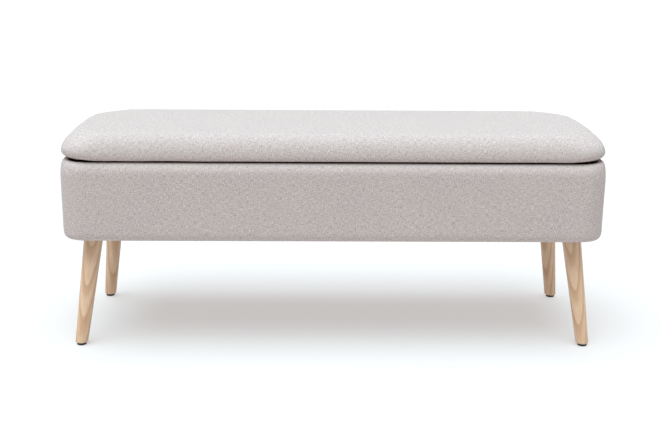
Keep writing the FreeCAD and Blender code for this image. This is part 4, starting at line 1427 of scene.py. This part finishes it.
# %% Sew the seam
thread = Finish("seam_thread")
twist = thread.noise(thread.object_space((1200, 1200, 500)), 1.0, 1.0)
thread.bump(twist, 0.08 * MM, 0.5)
thread_colour = thread.mix(twist, tint(128, 120, 114), tint(170, 163, 156))
seam_thread = thread.dress(Base_Color=thread_colour, Roughness=0.7)
stitch_places = stitch_row(-4 * MM) + stitch_row(4 * MM)
stitches = copy_shape("seam_stitches", stitch_shape(), stitch_places, seam_thread,
                      variation=0.06, seed=3)
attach(stitches, "base")
print("stitched", len(stitch_places), "stitches")


# %% [markdown]
# ## Studio
# The bench stands on a plain pale floor that runs far behind it and glows a little, like
# a light table, so its shadow stays soft. A wide cool light from above makes the seat
# bright and slightly blue, a weaker warm one from the front left evens the front, and
# the gap under the lid stays dark. The camera stands a little above and in front, with
# a slightly long lens.

# %% Floor and lights
floor_mesh = bpy.data.meshes.new("floor")
FAR = 120.0
floor_mesh.from_pydata([(-FAR, -FAR, 0), (FAR, -FAR, 0), (FAR, FAR, 0), (-FAR, FAR, 0)], [],
                       [(0, 1, 2, 3)])
floor = bpy.data.objects.new("floor", floor_mesh)
bpy.context.scene.collection.objects.link(floor)
pale = Finish("floor_paint")
floor_mesh.materials.append(pale.dress(
    Base_Color=(0.34, 0.34, 0.34, 1), Roughness=0.95, Specular_IOR_Level=0.0,
    Emission_Color=(1.0, 0.96, 0.945, 1), Emission_Strength=0.5))

sky = bpy.data.worlds.new("studio")
sky.use_nodes = True
sky.node_tree.nodes["Background"].inputs["Color"].default_value = (1.0, 0.97, 0.95, 1)
sky.node_tree.nodes["Background"].inputs["Strength"].default_value = 0.34
bpy.context.scene.world = sky


def soft_light(name, towards, power, spread, colour):
    lamp = bpy.data.lights.new(name, "SUN")
    lamp.energy = power
    lamp.angle = math.radians(spread)
    lamp.color = colour
    item = bpy.data.objects.new(name, lamp)
    item.rotation_euler = Vector(towards).to_track_quat("-Z", "Y").to_euler()
    bpy.context.scene.collection.objects.link(item)
    return item


soft_light("overhead", (0.12, 0.14, -1.0), 4.9, 60, (0.79, 0.935, 1.0))
soft_light("front_left", (0.35, 1.0, -0.6), 0.3, 40, (1.0, 0.9, 0.85))
print("studio ready")

# %% Camera
YAW, PITCH, ROLL = math.radians(-0.753), math.radians(14.774), math.radians(-0.406)
lens = bpy.data.cameras.new("camera")
lens.lens = 56.056
lens.sensor_width = 36
lens.clip_end = 200
camera = bpy.data.objects.new("camera", lens)
camera.location = (-0.0366, -2.3326, 0.8767)
facing = (Matrix.Rotation(YAW, 3, "Z") @ Matrix.Rotation(-PITCH, 3, "X")
          @ Matrix.Rotation(ROLL, 3, "Y") @ Matrix.Rotation(math.pi / 2, 3, "X"))
camera.rotation_euler = facing.to_euler()
bpy.context.scene.collection.objects.link(camera)
bpy.context.scene.camera = camera
bpy.context.scene.view_settings.view_transform = "Standard"
print("camera at", tuple(camera.location))
